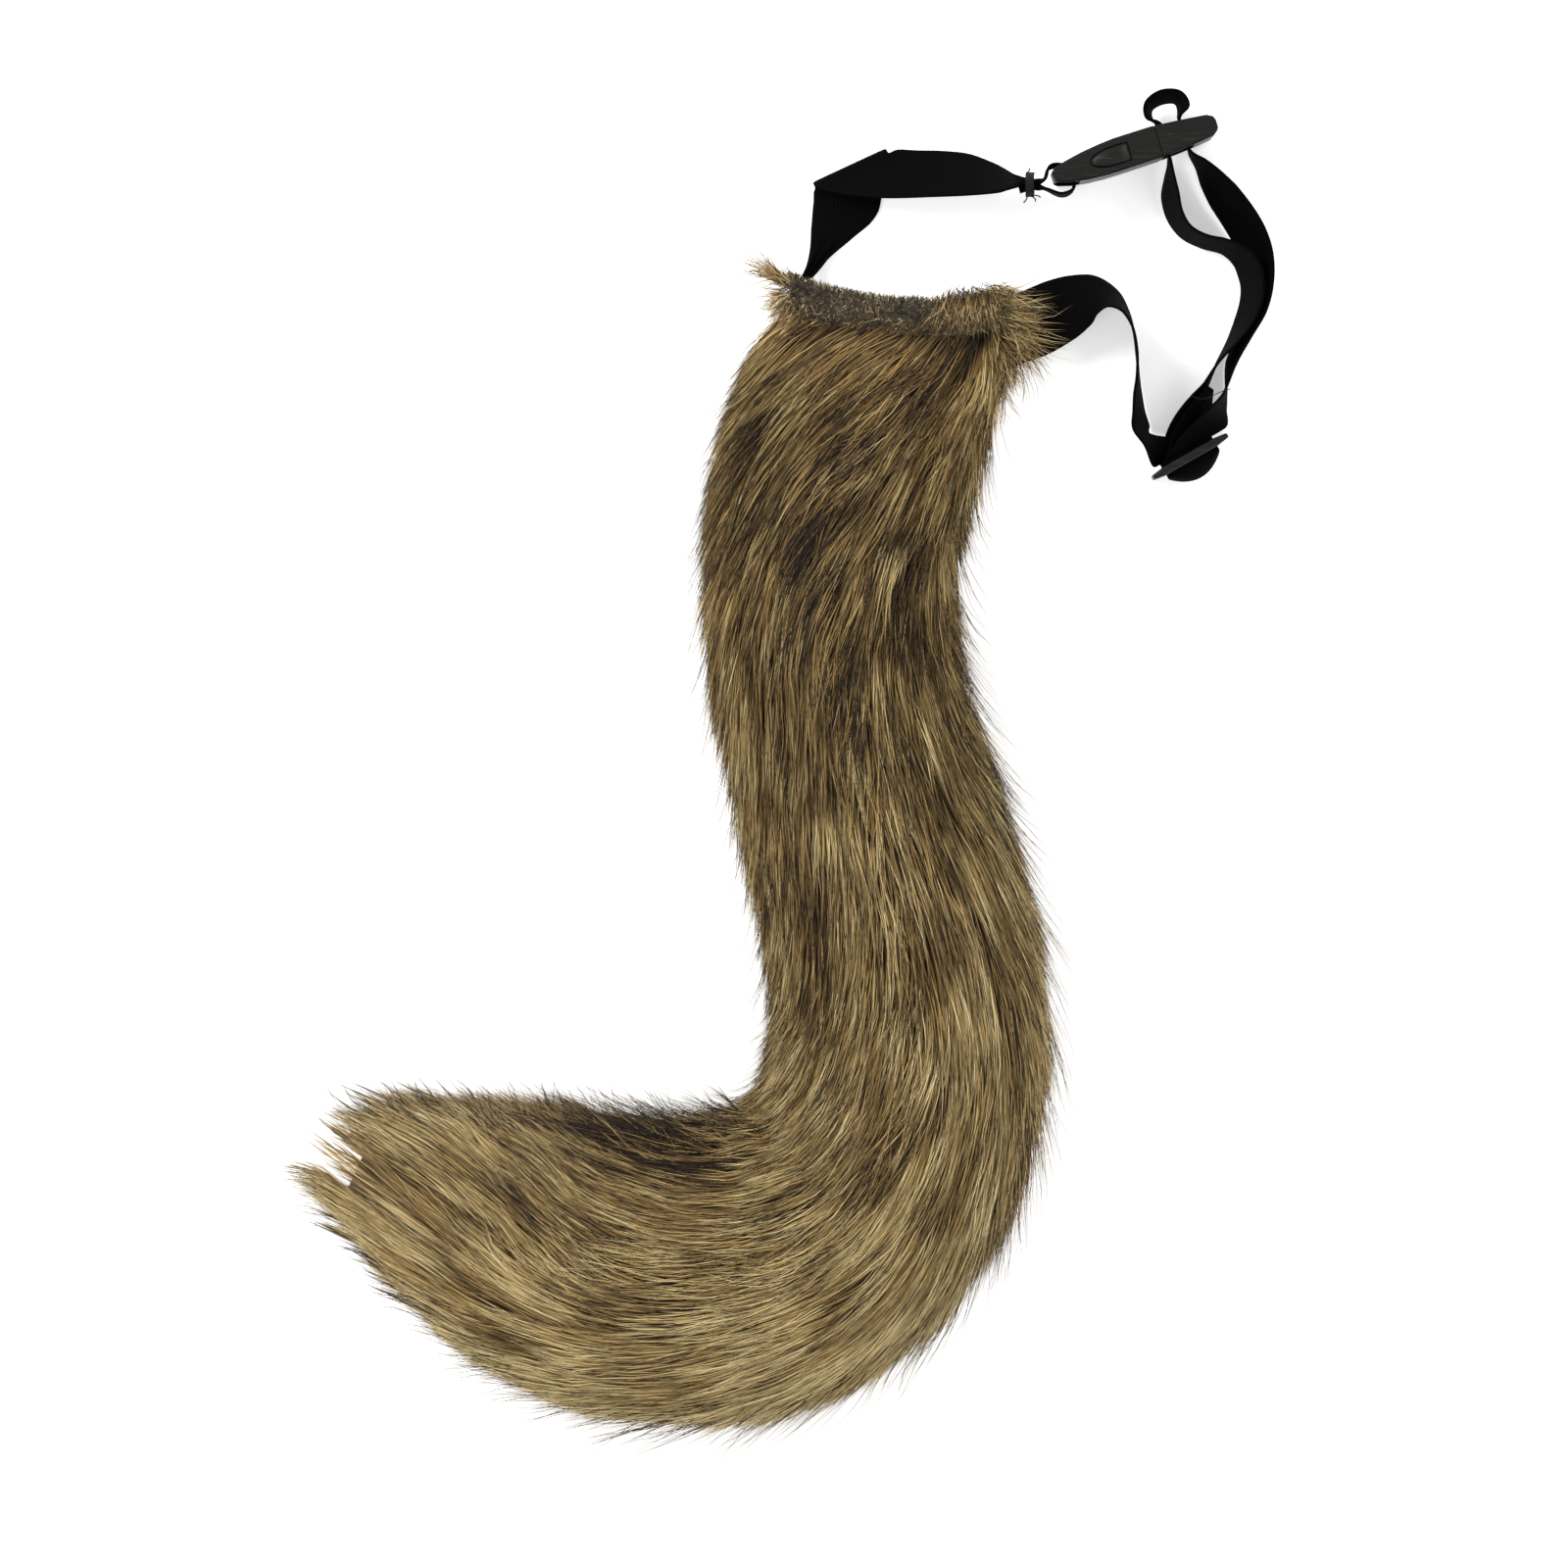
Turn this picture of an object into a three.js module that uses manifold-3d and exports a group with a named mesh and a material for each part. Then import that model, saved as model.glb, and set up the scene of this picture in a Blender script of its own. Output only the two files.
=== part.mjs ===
// Costume animal tail on an elastic waist strap
// A stuffed tail of long pile lies in a J-curve. A short-pile band closes its top edge. A flat
// elastic strap leaves both corners of that edge, and a side-release buckle joins its two lengths.
// The right length runs through a slider, loops through the buckle and comes back to the slider.
// Millimetres, +Z up, the floor at z = 0, the origin under the middle of the whole box.
import * as THREE from 'three';
import { mergeVertices } from 'three/addons/utils/BufferGeometryUtils.js';
import Module from 'manifold-3d';

// Driving dimensions of the tail
const tailLength = 628;
const tailWidth = 126;
const tailThickness = 62;
const tailSides = 18;
const hemWidth = 92;
const hemThickness = 15;
const hemDip = 7;
const lockLength = 70;
const lockWidth = 28;
const lockThickness = 9;
const lockRise = 5;
const lockRows = 14;
const lockColumns = 8;

// Driving dimensions of the band along the tail's top edge
const bandDepth = 11;
const bandWall = 2.5;
const bandEndGap = 1.5;

// Driving dimensions of the strap
const strapWidth = 28;
const strapThickness = 1.4;
const strapSewnDepth = 9;
const beltReach = 200;

// Driving dimensions of the buckle, whose two halves share one thickness and one width
const buckleThickness = 13.8;
const socketLength = 44.6;
const plugLength = 24.6;
const railWidth = 4.4;
const endBarLength = 4.4;
const endSlotLength = 5.4;
const ladderSlotLength = 4.4;
const ladderBarLength = 4.6;
const ladderLead = 0.6;
const ladderBarThickness = 5;
const socketWall = 1.8;
const socketCrown = 1.6;
const plugCrown = 1.4;
const crownSetback = 0.6;
const windowLength = 17;
const windowHeight = 8;
const windowFromEnd = 24;
const prongLength = 30;
const prongWidth = 3.2;
const prongHeight = 6;
const prongBaseLength = 4;
const tongueLength = 18;
const tongueWidth = 7;
const tongueThickness = 3.2;

// Driving dimensions of the slider
const sliderThickness = 3.4;
const sliderFrame = 4.2;
const sliderEnd = 5.2;
const sliderEndShare = 0.55;
const cupShare = 0.84;
const sliderBar = 4.4;

// Driving dimensions of the thread that gathers the left strap
const tieWidth = 4;
const tieWall = 1.1;
const tieSlack = 1.9;
const gatherShare = 0.42;
const gatherPitch = 2.8;

// Clearances
const gap = 0.3;
const slotPlay = 0.5;
const sewnPlay = 0.4;
const layerSpace = 1.1;

// Sizes that follow from the ones above
const routeStep = beltReach / 500;
const buckleWidth = strapWidth + 2 * (slotPlay + railWidth);
const buckleMiddle = buckleWidth / 2;
const sideWall = railWidth * 0.6;
const layerPitch = strapThickness + layerSpace;
const innerLayer = sliderBar / 2 + slotPlay + strapThickness / 2;
const outerLayer = innerLayer + layerPitch;
const sliderSlotEdge = outerLayer + strapThickness / 2 + slotPlay;
const sliderHeight = 2 * (sliderSlotEdge + sliderFrame);
const sliderSlotLength = strapWidth * cupShare + 2 * slotPlay;
const sliderLength = sliderSlotLength + 2 * sliderEnd;

// Edges shorter than this are closed up after a cut
const shortestEdge = 0.02;

// How far two solids that are joined reach into each other
const joinOverlap = 0.2;

// How far a cutting block reaches past the edge that it cuts
const cutOverlap = 0.1;

const wasm = await Module();
wasm.setup();

// Booleans on closed meshes
function solidFrom(geometry) {
  const bare = geometry.clone();
  bare.deleteAttribute('normal');
  bare.deleteAttribute('uv');
  const merged = mergeVertices(bare, 1e-4);
  return new wasm.Manifold(
    new wasm.Mesh({
      numProp: 3,
      vertProperties: new Float32Array(merged.attributes.position.array),
      triVerts: new Uint32Array(merged.index.array),
    }),
  );
}

function geometryFrom(solid) {
  const mesh = solid.simplify(shortestEdge).getMesh();
  const geometry = new THREE.BufferGeometry();
  geometry.setAttribute('position', new THREE.BufferAttribute(mesh.vertProperties, 3));
  geometry.setIndex(new THREE.BufferAttribute(mesh.triVerts, 1));
  geometry.computeVertexNormals();
  return geometry;
}

// A closed skin over rings of equal count, with a fan over each end ring
function loft(rings) {
  const count = rings[0].length;
  const points = rings.flat();
  const faces = [];
  for (let ring = 0; ring + 1 < rings.length; ring += 1) {
    for (let side = 0; side < count; side += 1) {
      const a = ring * count + side;
      const b = ring * count + ((side + 1) % count);
      faces.push(a, b, b + count, a, b + count, a + count);
    }
  }
  for (const [ring, first] of [[rings[0], 0], [rings.at(-1), (rings.length - 1) * count]]) {
    const middle = points.length;
    points.push(ring.reduce((sum, point) => sum.add(point), new THREE.Vector3()).divideScalar(count));
    for (let side = 0; side < count; side += 1) {
      const a = first + side;
      const b = first + ((side + 1) % count);
      faces.push(...(first === 0 ? [b, a, middle] : [a, b, middle]));
    }
  }
  const geometry = new THREE.BufferGeometry().setFromPoints(points);
  geometry.setIndex(facingOut(points, faces));
  return geometry;
}

// Faces turned over as a whole where the volume they enclose comes out negative
function facingOut(points, faces) {
  let volume = 0;
  const cross = new THREE.Vector3();
  for (let at = 0; at < faces.length; at += 3) {
    cross.crossVectors(points[faces[at + 1]], points[faces[at + 2]]);
    volume += points[faces[at]].dot(cross);
  }
  return volume > 0 ? faces : faces.reverse();
}

function degrees(angle) {
  return (angle * Math.PI) / 180;
}

function headingVector(angle) {
  return new THREE.Vector3(Math.cos(degrees(angle)), Math.sin(degrees(angle)), 0);
}

// Smooth reading of one column of a table at a place between its rows
function readColumn(table, key, column, at) {
  let row = 0;
  while (row + 2 < table.length && table[row + 1][key] < at) row += 1;
  const span = table[row + 1][key] - table[row][key];
  const share = THREE.MathUtils.clamp((at - table[row][key]) / span, 0, 1);
  const eased = share * share * (3 - 2 * share);
  const mixed = 0.5 * (share + eased);
  return THREE.MathUtils.lerp(table[row][column], table[row + 1][column], mixed);
}

// Sections of the tail from its hem to its tip
// along: share of tailLength, heading: the way the tail runs there, skew: turn of the section,
// width and thick: shares of tailWidth and tailThickness
const tailSections = [
  { along: 0.0, heading: 256, skew: 10, width: 0.72, thick: 0.3 },
  { along: 0.05, heading: 252, skew: 6, width: 0.84, thick: 0.6 },
  { along: 0.12, heading: 255, skew: 0, width: 0.86, thick: 0.84 },
  { along: 0.2, heading: 269, skew: 0, width: 0.83, thick: 0.95 },
  { along: 0.28, heading: 283, skew: 0, width: 0.83, thick: 1.0 },
  { along: 0.38, heading: 286, skew: 0, width: 0.87, thick: 1.0 },
  { along: 0.46, heading: 277, skew: 0, width: 0.9, thick: 1.0 },
  { along: 0.53, heading: 258, skew: 0, width: 0.92, thick: 1.0 },
  { along: 0.59, heading: 239, skew: 0, width: 0.94, thick: 1.0 },
  { along: 0.65, heading: 210, skew: 0, width: 1.0, thick: 1.0 },
  { along: 0.71, heading: 187, skew: 0, width: 1.0, thick: 1.0 },
  { along: 0.78, heading: 167, skew: 0, width: 0.96, thick: 0.96 },
  { along: 0.84, heading: 157, skew: 0, width: 0.84, thick: 0.86 },
  { along: 0.9, heading: 153, skew: 0, width: 0.63, thick: 0.7 },
  { along: 0.95, heading: 155, skew: 0, width: 0.4, thick: 0.5 },
  { along: 1.0, heading: 156, skew: 0, width: 0.12, thick: 0.2 },
];

// The tail's middle line, its heading summed up step by step from the hem
const lineSteps = 200;
const tailLine = [new THREE.Vector3()];
for (let step = 0; step < lineSteps; step += 1) {
  const heading = readColumn(tailSections, 'along', 'heading', (step + 0.5) / lineSteps);
  tailLine.push(headingVector(heading).multiplyScalar(tailLength / lineSteps).add(tailLine[step]));
}

// One place on the tail's surface
// along runs from the hem to the tip, turn goes round the section from its right edge over the top,
// and rise lifts the place off the surface
const widestHeight = 0.38;
const hemLead = 2.2 * bandDepth;
const bandCover = 1.15 * bandDepth;
function tailPoint(along, turn, rise = 0) {
  const at = THREE.MathUtils.clamp(along, 0, 1) * lineSteps;
  const step = Math.min(Math.floor(at), lineSteps - 1);
  const middle = tailLine[step].clone().lerp(tailLine[step + 1], at - step);
  const facing = readColumn(tailSections, 'along', 'heading', along)
    + readColumn(tailSections, 'along', 'skew', along);
  const hemBlend = Math.max(0, 1 - (along * tailLength) / hemLead);
  const fullHalf = (readColumn(tailSections, 'along', 'width', along) * tailWidth) / 2 - lockRise;
  const half = THREE.MathUtils.lerp(fullHalf, hemWidth / 2, hemBlend);
  const fullThick = readColumn(tailSections, 'along', 'thick', along) * tailThickness - lockRise / 2;
  const thick = THREE.MathUtils.lerp(fullThick, hemThickness, hemBlend);
  const lift = (bandWall + gap) * (along * tailLength < bandCover ? 1 : hemBlend);
  const c = Math.cos(turn);
  const s = Math.sin(turn);
  const across = Math.sign(c) * Math.abs(c) ** 0.8 * (half + rise);
  const share = s > 0
    ? widestHeight + (1 - widestHeight) * s ** 0.9
    : Math.max(0, widestHeight * (1 + 1.35 * s));
  const dip = hemDip * hemBlend * (1 - (across / half) ** 2);
  return headingVector(facing + 90)
    .multiplyScalar(across)
    .add(headingVector(facing).multiplyScalar(dip))
    .add(middle)
    .setZ(lift + share * thick + (s > 0 ? rise * s : 0));
}

// The stuffed core, without its locks
function furCore() {
  const places = [0, 0.014, 0.028, 0.045];
  const [first, last, pitch] = [0.075, 0.985, 0.035];
  for (let along = first; along < last; along += pitch) places.push(along);
  places.push(1);
  return loft(
    places.map((along) => {
      const ring = [];
      for (let side = 0; side < tailSides; side += 1) {
        ring.push(tailPoint(along, (2 * Math.PI * side) / tailSides));
      }
      return ring;
    }),
  );
}

// Shares of one lock's length, thickness and width
const rootDepth = 0.6;
const bellyPlace = 0.45;
const bellyDepth = 0.05;
const rootWidth = 0.5;
const tipWidth = 0.08;

// One lock of fur: a flat spindle whose root is sunk in the core and whose tip lies proud of it
function furLock(along, turn, size, sway) {
  const reach = (lockLength * size) / tailLength;
  const root = tailPoint(along, turn, -lockThickness * rootDepth);
  const middle = along + reach * bellyPlace;
  const belly = tailPoint(middle, turn + sway * bellyPlace, -lockThickness * bellyDepth);
  const tip = tailPoint(Math.min(along + reach, 1.0), turn + sway, lockRise);
  const overTip = (along + reach - 1) * tailLength;
  if (overTip > 0) tip.add(headingVector(tailSections.at(-1).heading).multiplyScalar(overTip * 0.5));
  tip.z = Math.max(tip.z, lockRise);
  const run = tip.clone().sub(root).normalize();
  const out = tailPoint(along, turn, 1).sub(tailPoint(along, turn)).normalize();
  const side = new THREE.Vector3().crossVectors(run, out).normalize();
  const flat = new THREE.Vector3().crossVectors(side, run).normalize();
  const ringAt = (centre, width, thick) => [
    centre.clone().addScaledVector(side, width / 2),
    centre.clone().addScaledVector(flat, thick / 2),
    centre.clone().addScaledVector(side, -width / 2),
    centre.clone().addScaledVector(flat, -thick / 2),
  ];
  const wide = lockWidth * size;
  const thick = lockThickness * size;
  return loft([
    ringAt(root, wide * rootWidth, thick * rootWidth),
    ringAt(belly, wide, thick),
    ringAt(tip, wide * tipWidth, thick * tipWidth),
  ]);
}

// Every lock, staggered from row to row and a little unlike its neighbours
// first and last: where the lock roots start and stop along the tail, low and high: in degrees of turn
const lockSpread = { first: 0.035, last: 0.935, low: -14, high: 194 };
const lockChange = { size: 0.16, place: 0.3, sway: 0.12 };
function furLocks() {
  const locks = [];
  for (let row = 0; row < lockRows; row += 1) {
    for (let column = 0; column < lockColumns; column += 1) {
      const stagger = row % 2 ? 0.5 : 0;
      const round = (column + stagger) / (lockColumns - 0.5);
      const turn = degrees(THREE.MathUtils.lerp(lockSpread.low, lockSpread.high, round));
      const wave = Math.sin(row * 2.4 + column * 1.7);
      const down = (row + lockChange.place * wave) / lockRows;
      const along = THREE.MathUtils.lerp(lockSpread.first, lockSpread.last, down);
      const sway = lockChange.sway * Math.sin(row * 1.3 + column * 2.9);
      locks.push(furLock(along, turn, 1 + lockChange.size * wave, sway));
    }
  }
  return locks;
}

// A block under the floor that trims what would hang below it
function belowFloor() {
  const block = new THREE.BoxGeometry(4 * tailLength, 4 * tailLength, tailThickness);
  block.translate(0, 0, -tailThickness / 2);
  return solidFrom(block);
}

// The strap as a ruled ribbon
// A station has its middle and the direction from the strap's lower edge to its upper edge, whose
// length is the share of the strap's width that shows there.
function ribbonStation(x, y, z, heading, lean, stretch = 1) {
  const across = headingVector(heading).multiplyScalar(Math.cos(degrees(lean)));
  across.z = Math.sin(degrees(lean));
  return { middle: new THREE.Vector3(x, y, z), across: across.multiplyScalar(stretch) };
}

// The solid of a strap along its stations, or the room it needs when grown by a clearance
function ribbon(stations, grow = 0) {
  const samples = 2;
  const middles = new THREE.CatmullRomCurve3(stations.map((station) => station.middle));
  const acrosses = new THREE.CatmullRomCurve3(stations.map((station) => station.across));
  const count = (stations.length - 1) * samples;
  const rings = [];
  for (let sample = 0; sample <= count; sample += 1) {
    const at = sample / count;
    const tangent = middles.getTangent(at);
    const middle = middles.getPoint(at);
    if (sample === 0) middle.addScaledVector(tangent, -grow);
    if (sample === count) middle.addScaledVector(tangent, grow);
    const half = acrosses.getPoint(at).multiplyScalar(strapWidth / 2);
    half.setLength(half.length() + grow);
    const face = tangent.cross(half).setLength(strapThickness / 2 + grow);
    rings.push([
      middle.clone().add(half).add(face),
      middle.clone().sub(half).add(face),
      middle.clone().sub(half).sub(face),
      middle.clone().add(half).sub(face),
    ]);
  }
  return loft(rings);
}

// Rows of a route table as stations, the strap's side found from the way the route runs
// x and y: five-hundredths of beltReach from the hem's middle, up: share of strapWidth,
// lean: turn of the upper edge from the left of the route over the top to its right
function routeStations(rows) {
  const middles = rows.map(
    ({ x, y, up }) => new THREE.Vector3(x * routeStep, y * routeStep, up * strapWidth),
  );
  return rows.map((row, at) => {
    const before = middles[Math.max(at - 1, 0)];
    const after = middles[Math.min(at + 1, rows.length - 1)];
    const heading = (Math.atan2(after.y - before.y, after.x - before.x) * 180) / Math.PI;
    const middle = middles[at];
    const left = row.heading ?? heading + 90;
    return ribbonStation(middle.x, middle.y, middle.z, left, row.lean, row.stretch);
  });
}

// The frame of the buckle: u along it from the strap's end bar, v across it in plan, z up
const buckleHeading = 17.5;
const buckleStart = { x: 155, y: 117 };
function buckleStation(u, v, lean = 90, turn = 0) {
  const place = headingVector(buckleHeading)
    .multiplyScalar(u)
    .addScaledVector(headingVector(buckleHeading + 90), v);
  const x = buckleStart.x * routeStep + place.x;
  const y = buckleStart.y * routeStep + place.y;
  return ribbonStation(x, y, buckleMiddle, buckleHeading + turn, lean);
}

function intoBuckleFrame(geometry) {
  geometry.rotateZ(degrees(buckleHeading));
  geometry.translate(buckleStart.x * routeStep, buckleStart.y * routeStep, 0);
  return geometry;
}

// The frame of the slider: l along its bars, n through its slots, z up
const sliderHeading = 29.8;
const sliderMiddle = { x: 295, y: -167 };
function sliderStation(n, height) {
  const place = headingVector(sliderHeading - 90).multiplyScalar(n);
  const x = sliderMiddle.x * routeStep + place.x;
  const y = sliderMiddle.y * routeStep + place.y;
  return ribbonStation(x, y, sliderHeight / 2 + height, sliderHeading + 180, 0, cupShare);
}

// Where the strap passes the ladder bars of the plug
const slotAMiddle = socketLength + ladderLead + ladderSlotLength / 2;
const slotBMiddle = slotAMiddle + ladderSlotLength + ladderBarLength;

// Route of the right strap: out of the tail's right corner to the slider
const fromTail = [
  { x: 116, y: -38, up: 0.4, lean: 180 },
  { x: 136, y: -31, up: 0.38, lean: 177 },
  { x: 164, y: -17, up: 0.34, lean: 161 },
  { x: 184, y: -7, up: 0.37, lean: 143 },
  { x: 200, y: -2, up: 0.43, lean: 126 },
  { x: 217, y: -6, up: 0.49, lean: 108 },
  { x: 229, y: -18, up: 0.52, lean: 97 },
  { x: 237, y: -36, up: 0.52, lean: 92 },
  { x: 241, y: -60, up: 0.52, lean: 91 },
  { x: 242, y: -84, up: 0.52, lean: 93 },
  { x: 242, y: -104, up: 0.52, lean: 98 },
  { x: 243, y: -120, up: 0.52, lean: 101 },
  { x: 245, y: -136, up: 0.51, lean: 106 },
  { x: 251, y: -149, up: 0.48, heading: 243, lean: 72, stretch: 0.95 },
  { x: 263, y: -159, up: 0.33, heading: 232, lean: 40, stretch: 0.8 },
  { x: 278, y: -160, up: 0.2, heading: 218, lean: 8, stretch: 0.8 },
];

// From the slider up to the second slot of the plug, beyond the stretch where the layers lie together
const toBuckle = [
  { x: 337, y: -72, up: 0.52, lean: 97 },
  { x: 350, y: -45, up: 0.52, lean: 100 },
  { x: 363, y: -16, up: 0.51, lean: 106 },
  { x: 367, y: 10, up: 0.5, lean: 110 },
  { x: 364, y: 36, up: 0.49, lean: 115 },
  { x: 356, y: 57, up: 0.49, lean: 118 },
  { x: 345, y: 76, up: 0.5, lean: 118 },
  { x: 330, y: 97, up: 0.53, lean: 116 },
  { x: 316, y: 116, up: 0.58, lean: 108 },
  { x: 306, y: 130, up: 0.64, lean: 98 },
];

// From the first slot of the plug back down to the slider
const fromBuckle = [
  { x: 274, y: 118, up: 0.64, lean: 84 },
  { x: 275, y: 98, up: 0.57, lean: 77 },
  { x: 280, y: 78, up: 0.53, lean: 78 },
  { x: 291, y: 62, up: 0.52, lean: 80 },
  { x: 310, y: 52, up: 0.52, lean: 81 },
  { x: 330, y: 47, up: 0.52, lean: 80 },
  { x: 347, y: 37, up: 0.51, lean: 74 },
  { x: 356, y: 22, up: 0.5, lean: 71 },
  { x: 359, y: 6, up: 0.5, lean: 72 },
  { x: 357, y: -11, up: 0.51, lean: 73 },
  { x: 350, y: -29, up: 0.51, lean: 76 },
  { x: 338, y: -50, up: 0.52, lean: 83 },
  { x: 323, y: -72, up: 0.52, lean: 90 },
];

// Beside the slider the three layers lie together and turn up on edge as one
// x, y and up: the stack's middle line, heading and lean: where its upper edge points
const stackRoute = [
  { x: 296, y: -152, up: 0.43, heading: 204, lean: 9, stretch: 0.82, a: 6.6, c: 2.8, b: -2.9 },
  { x: 298, y: -141, up: 0.47, heading: 195, lean: 30, stretch: 0.84, a: 6.8, c: 1.2, b: -2.8 },
  { x: 303, y: -127, up: 0.5, heading: 186, lean: 55, stretch: 0.92, a: 6.5, c: 0.1, b: -2.9 },
  { x: 310, y: -112, up: 0.52, heading: 179, lean: 74, stretch: 1.0, a: 6.2, c: -0.5, b: -3.2 },
  { x: 318, y: -98, up: 0.52, heading: 173, lean: 85, stretch: 1.0, a: 5.6, c: -0.7, b: -3.2 },
];

// Stations of one layer of the stack, offset from its middle line by a column of the table
function stackStations(layer) {
  const base = routeStations(stackRoute);
  return base.map(({ middle, across }, at) => {
    const before = base[Math.max(at - 1, 0)].middle;
    const after = base[Math.min(at + 1, base.length - 1)].middle;
    const level = after.clone().sub(before).setZ(0);
    const out = level.cross(across).normalize();
    return { middle: middle.clone().addScaledVector(out, stackRoute[at][layer]), across };
  });
}

// Stations straight through one slot of the slider, listed the way the strap runs
const slotPlaces = [-3, -0.4, 2.4];
function throughSlider(height, way) {
  const places = way > 0 ? slotPlaces : slotPlaces.toReversed();
  return places.map((n) => sliderStation(n, height));
}

function rightStrapStations() {
  const bend = sliderThickness / 2 + gap + strapThickness / 2;
  const start = routeStations(fromTail);
  const sewn = start[0].middle.clone().sub(start[1].middle).setLength(strapSewnDepth);
  return [
    { middle: start[0].middle.clone().add(sewn), across: start[0].across },
    ...start,
    ...throughSlider(-outerLayer, 1),
    sliderStation(5.6, -outerLayer - 0.8),
    sliderStation(8.6, -2.6),
    sliderStation(8.8, 2.2),
    sliderStation(5.8, outerLayer + 0.7),
    ...throughSlider(outerLayer, -1),
    ...stackStations('a'),
    ...routeStations(toBuckle),
    buckleStation(slotBMiddle, -buckleThickness * 0.55),
    buckleStation(slotBMiddle, 0),
    buckleStation(slotBMiddle, buckleThickness * 0.55),
    buckleStation(slotBMiddle + 3.2, 11.8, 78),
    buckleStation(slotBMiddle + 2, 16.6, 78, 45),
    buckleStation((slotAMiddle + slotBMiddle) / 2 + 1, 18.8, 79, 90),
    buckleStation(slotAMiddle + 0.4, 16.9, 81, 135),
    buckleStation(slotAMiddle - 1.2, 12.6, 83, 180),
    buckleStation(slotAMiddle, buckleThickness * 0.55),
    buckleStation(slotAMiddle, 0),
    buckleStation(slotAMiddle, -buckleThickness * 0.55),
    ...routeStations(fromBuckle),
    ...stackStations('b').reverse(),
    ...throughSlider(-innerLayer, 1),
    sliderStation(bend + 1.6, -innerLayer * 0.55),
    sliderStation(bend + 1.6, innerLayer * 0.55),
    ...throughSlider(innerLayer, -1),
    ...stackStations('c'),
  ];
}

// Route of the left strap: from the hem's left corner, over a diagonal fold, to the gather
const fromHem = [
  { x: -96, y: 14, up: 0.3, heading: 200, lean: 20, stretch: 0.25 },
  { x: -84, y: 32, up: 0.14, heading: 200, lean: 12, stretch: 0.36 },
  { x: -69, y: 53, up: 0.06, heading: 193, lean: 0, stretch: 0.66 },
  { x: -60, y: 70, up: 0.035, heading: 184, lean: 0, stretch: 0.87 },
  { x: -55, y: 85, up: 0.035, heading: 181, lean: 0, stretch: 0.97 },
  { x: -53, y: 98, up: 0.035, heading: 184, lean: 0, stretch: 1.0 },
  { x: -51, y: 113, up: 0.035, heading: 194, lean: 0, stretch: 1.08 },
  { x: -49, y: 125, up: 0.035, heading: 204, lean: 0, stretch: 1.17 },
  { x: -51, y: 130, up: 0.085, heading: 205, lean: 0, stretch: 1.18 },
  { x: -48, y: 125.5, up: 0.14, heading: 206, lean: 2, stretch: 1.17 },
  { x: -33, y: 124, up: 0.2, heading: 217, lean: 10, stretch: 1.1 },
  { x: 0, y: 121, up: 0.35, heading: 237, lean: 33, stretch: 1.03 },
  { x: 39, y: 121, up: 0.4, heading: 254, lean: 43, stretch: 1.0 },
  { x: 70, y: 120, up: 0.45, heading: 265, lean: 50, stretch: 1.0 },
  { x: 100, y: 116, up: 0.5, heading: 271, lean: 62, stretch: 0.95 },
  { x: 116, y: 114, up: 0.55, heading: 274, lean: 72, stretch: 0.74 },
  { x: 126, y: 113, up: 0.6, heading: 275, lean: 82, stretch: gatherShare },
  { x: 138, y: 112, up: 0.63, heading: 275, lean: 86, stretch: gatherShare },
  { x: 147, y: 115, up: 0.66, heading: 275, lean: 88, stretch: 0.88 },
];
const backToGather = [
  { x: 148, y: 105, up: 0.66, heading: 275, lean: 88, stretch: 0.88 },
  { x: 138, y: 107, up: 0.63, heading: 275, lean: 86, stretch: gatherShare },
  { x: 126, y: 106, up: 0.6, heading: 275, lean: 82, stretch: gatherShare },
  { x: 121, y: 105, up: 0.59, heading: 275, lean: 80, stretch: gatherShare * 1.1 },
];
const gatherMiddle = { x: 132, y: 109.5, up: 0.62 };

function leftStrapStations() {
  const barTop = endBarLength / 2 + gap + strapThickness / 2;
  return [
    ...routeStations(fromHem),
    buckleStation(-0.4, barTop + 0.8),
    buckleStation(endBarLength, barTop + 0.3),
    buckleStation(endBarLength + 0.6 * endSlotLength, 0.2),
    buckleStation(endBarLength + 0.65 * endSlotLength, -4.4),
    buckleStation(endBarLength + 0.3 * endSlotLength, -7.6),
    buckleStation(1.4, -8),
    ...routeStations(backToGather),
  ];
}

// A flat outline carried straight up between two heights
function upright(outline, low, high) {
  const shape = new THREE.Shape(outline.map(([x, y]) => new THREE.Vector2(x, y)));
  const geometry = new THREE.ExtrudeGeometry(shape, { depth: high - low, bevelEnabled: false });
  geometry.translate(0, 0, low);
  return geometry;
}

function block(lowU, highU, lowV, highV, lowZ, highZ) {
  return solidFrom(upright([[lowU, lowV], [highU, lowV], [highU, highV], [lowU, highV]], lowZ, highZ));
}

// The side outline of the buckle, u as a share of its length, top and bottom of its thickness
const buckleOutline = [
  { u: 0.0, top: 0.12, bottom: -0.18 },
  { u: 0.02, top: 0.2, bottom: -0.26 },
  { u: 0.09, top: 0.29, bottom: -0.36 },
  { u: 0.19, top: 0.39, bottom: -0.44 },
  { u: 0.3, top: 0.46, bottom: -0.48 },
  { u: 0.4, top: 0.5, bottom: -0.48 },
  { u: 0.62, top: 0.5, bottom: -0.46 },
  { u: 0.75, top: 0.45, bottom: -0.42 },
  { u: 0.88, top: 0.38, bottom: -0.36 },
  { u: 0.955, top: 0.34, bottom: -0.31 },
  { u: 0.99, top: 0.24, bottom: -0.2 },
  { u: 1.0, top: 0.12, bottom: -0.1 },
];
const buckleLength = socketLength + gap + plugLength;

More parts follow.
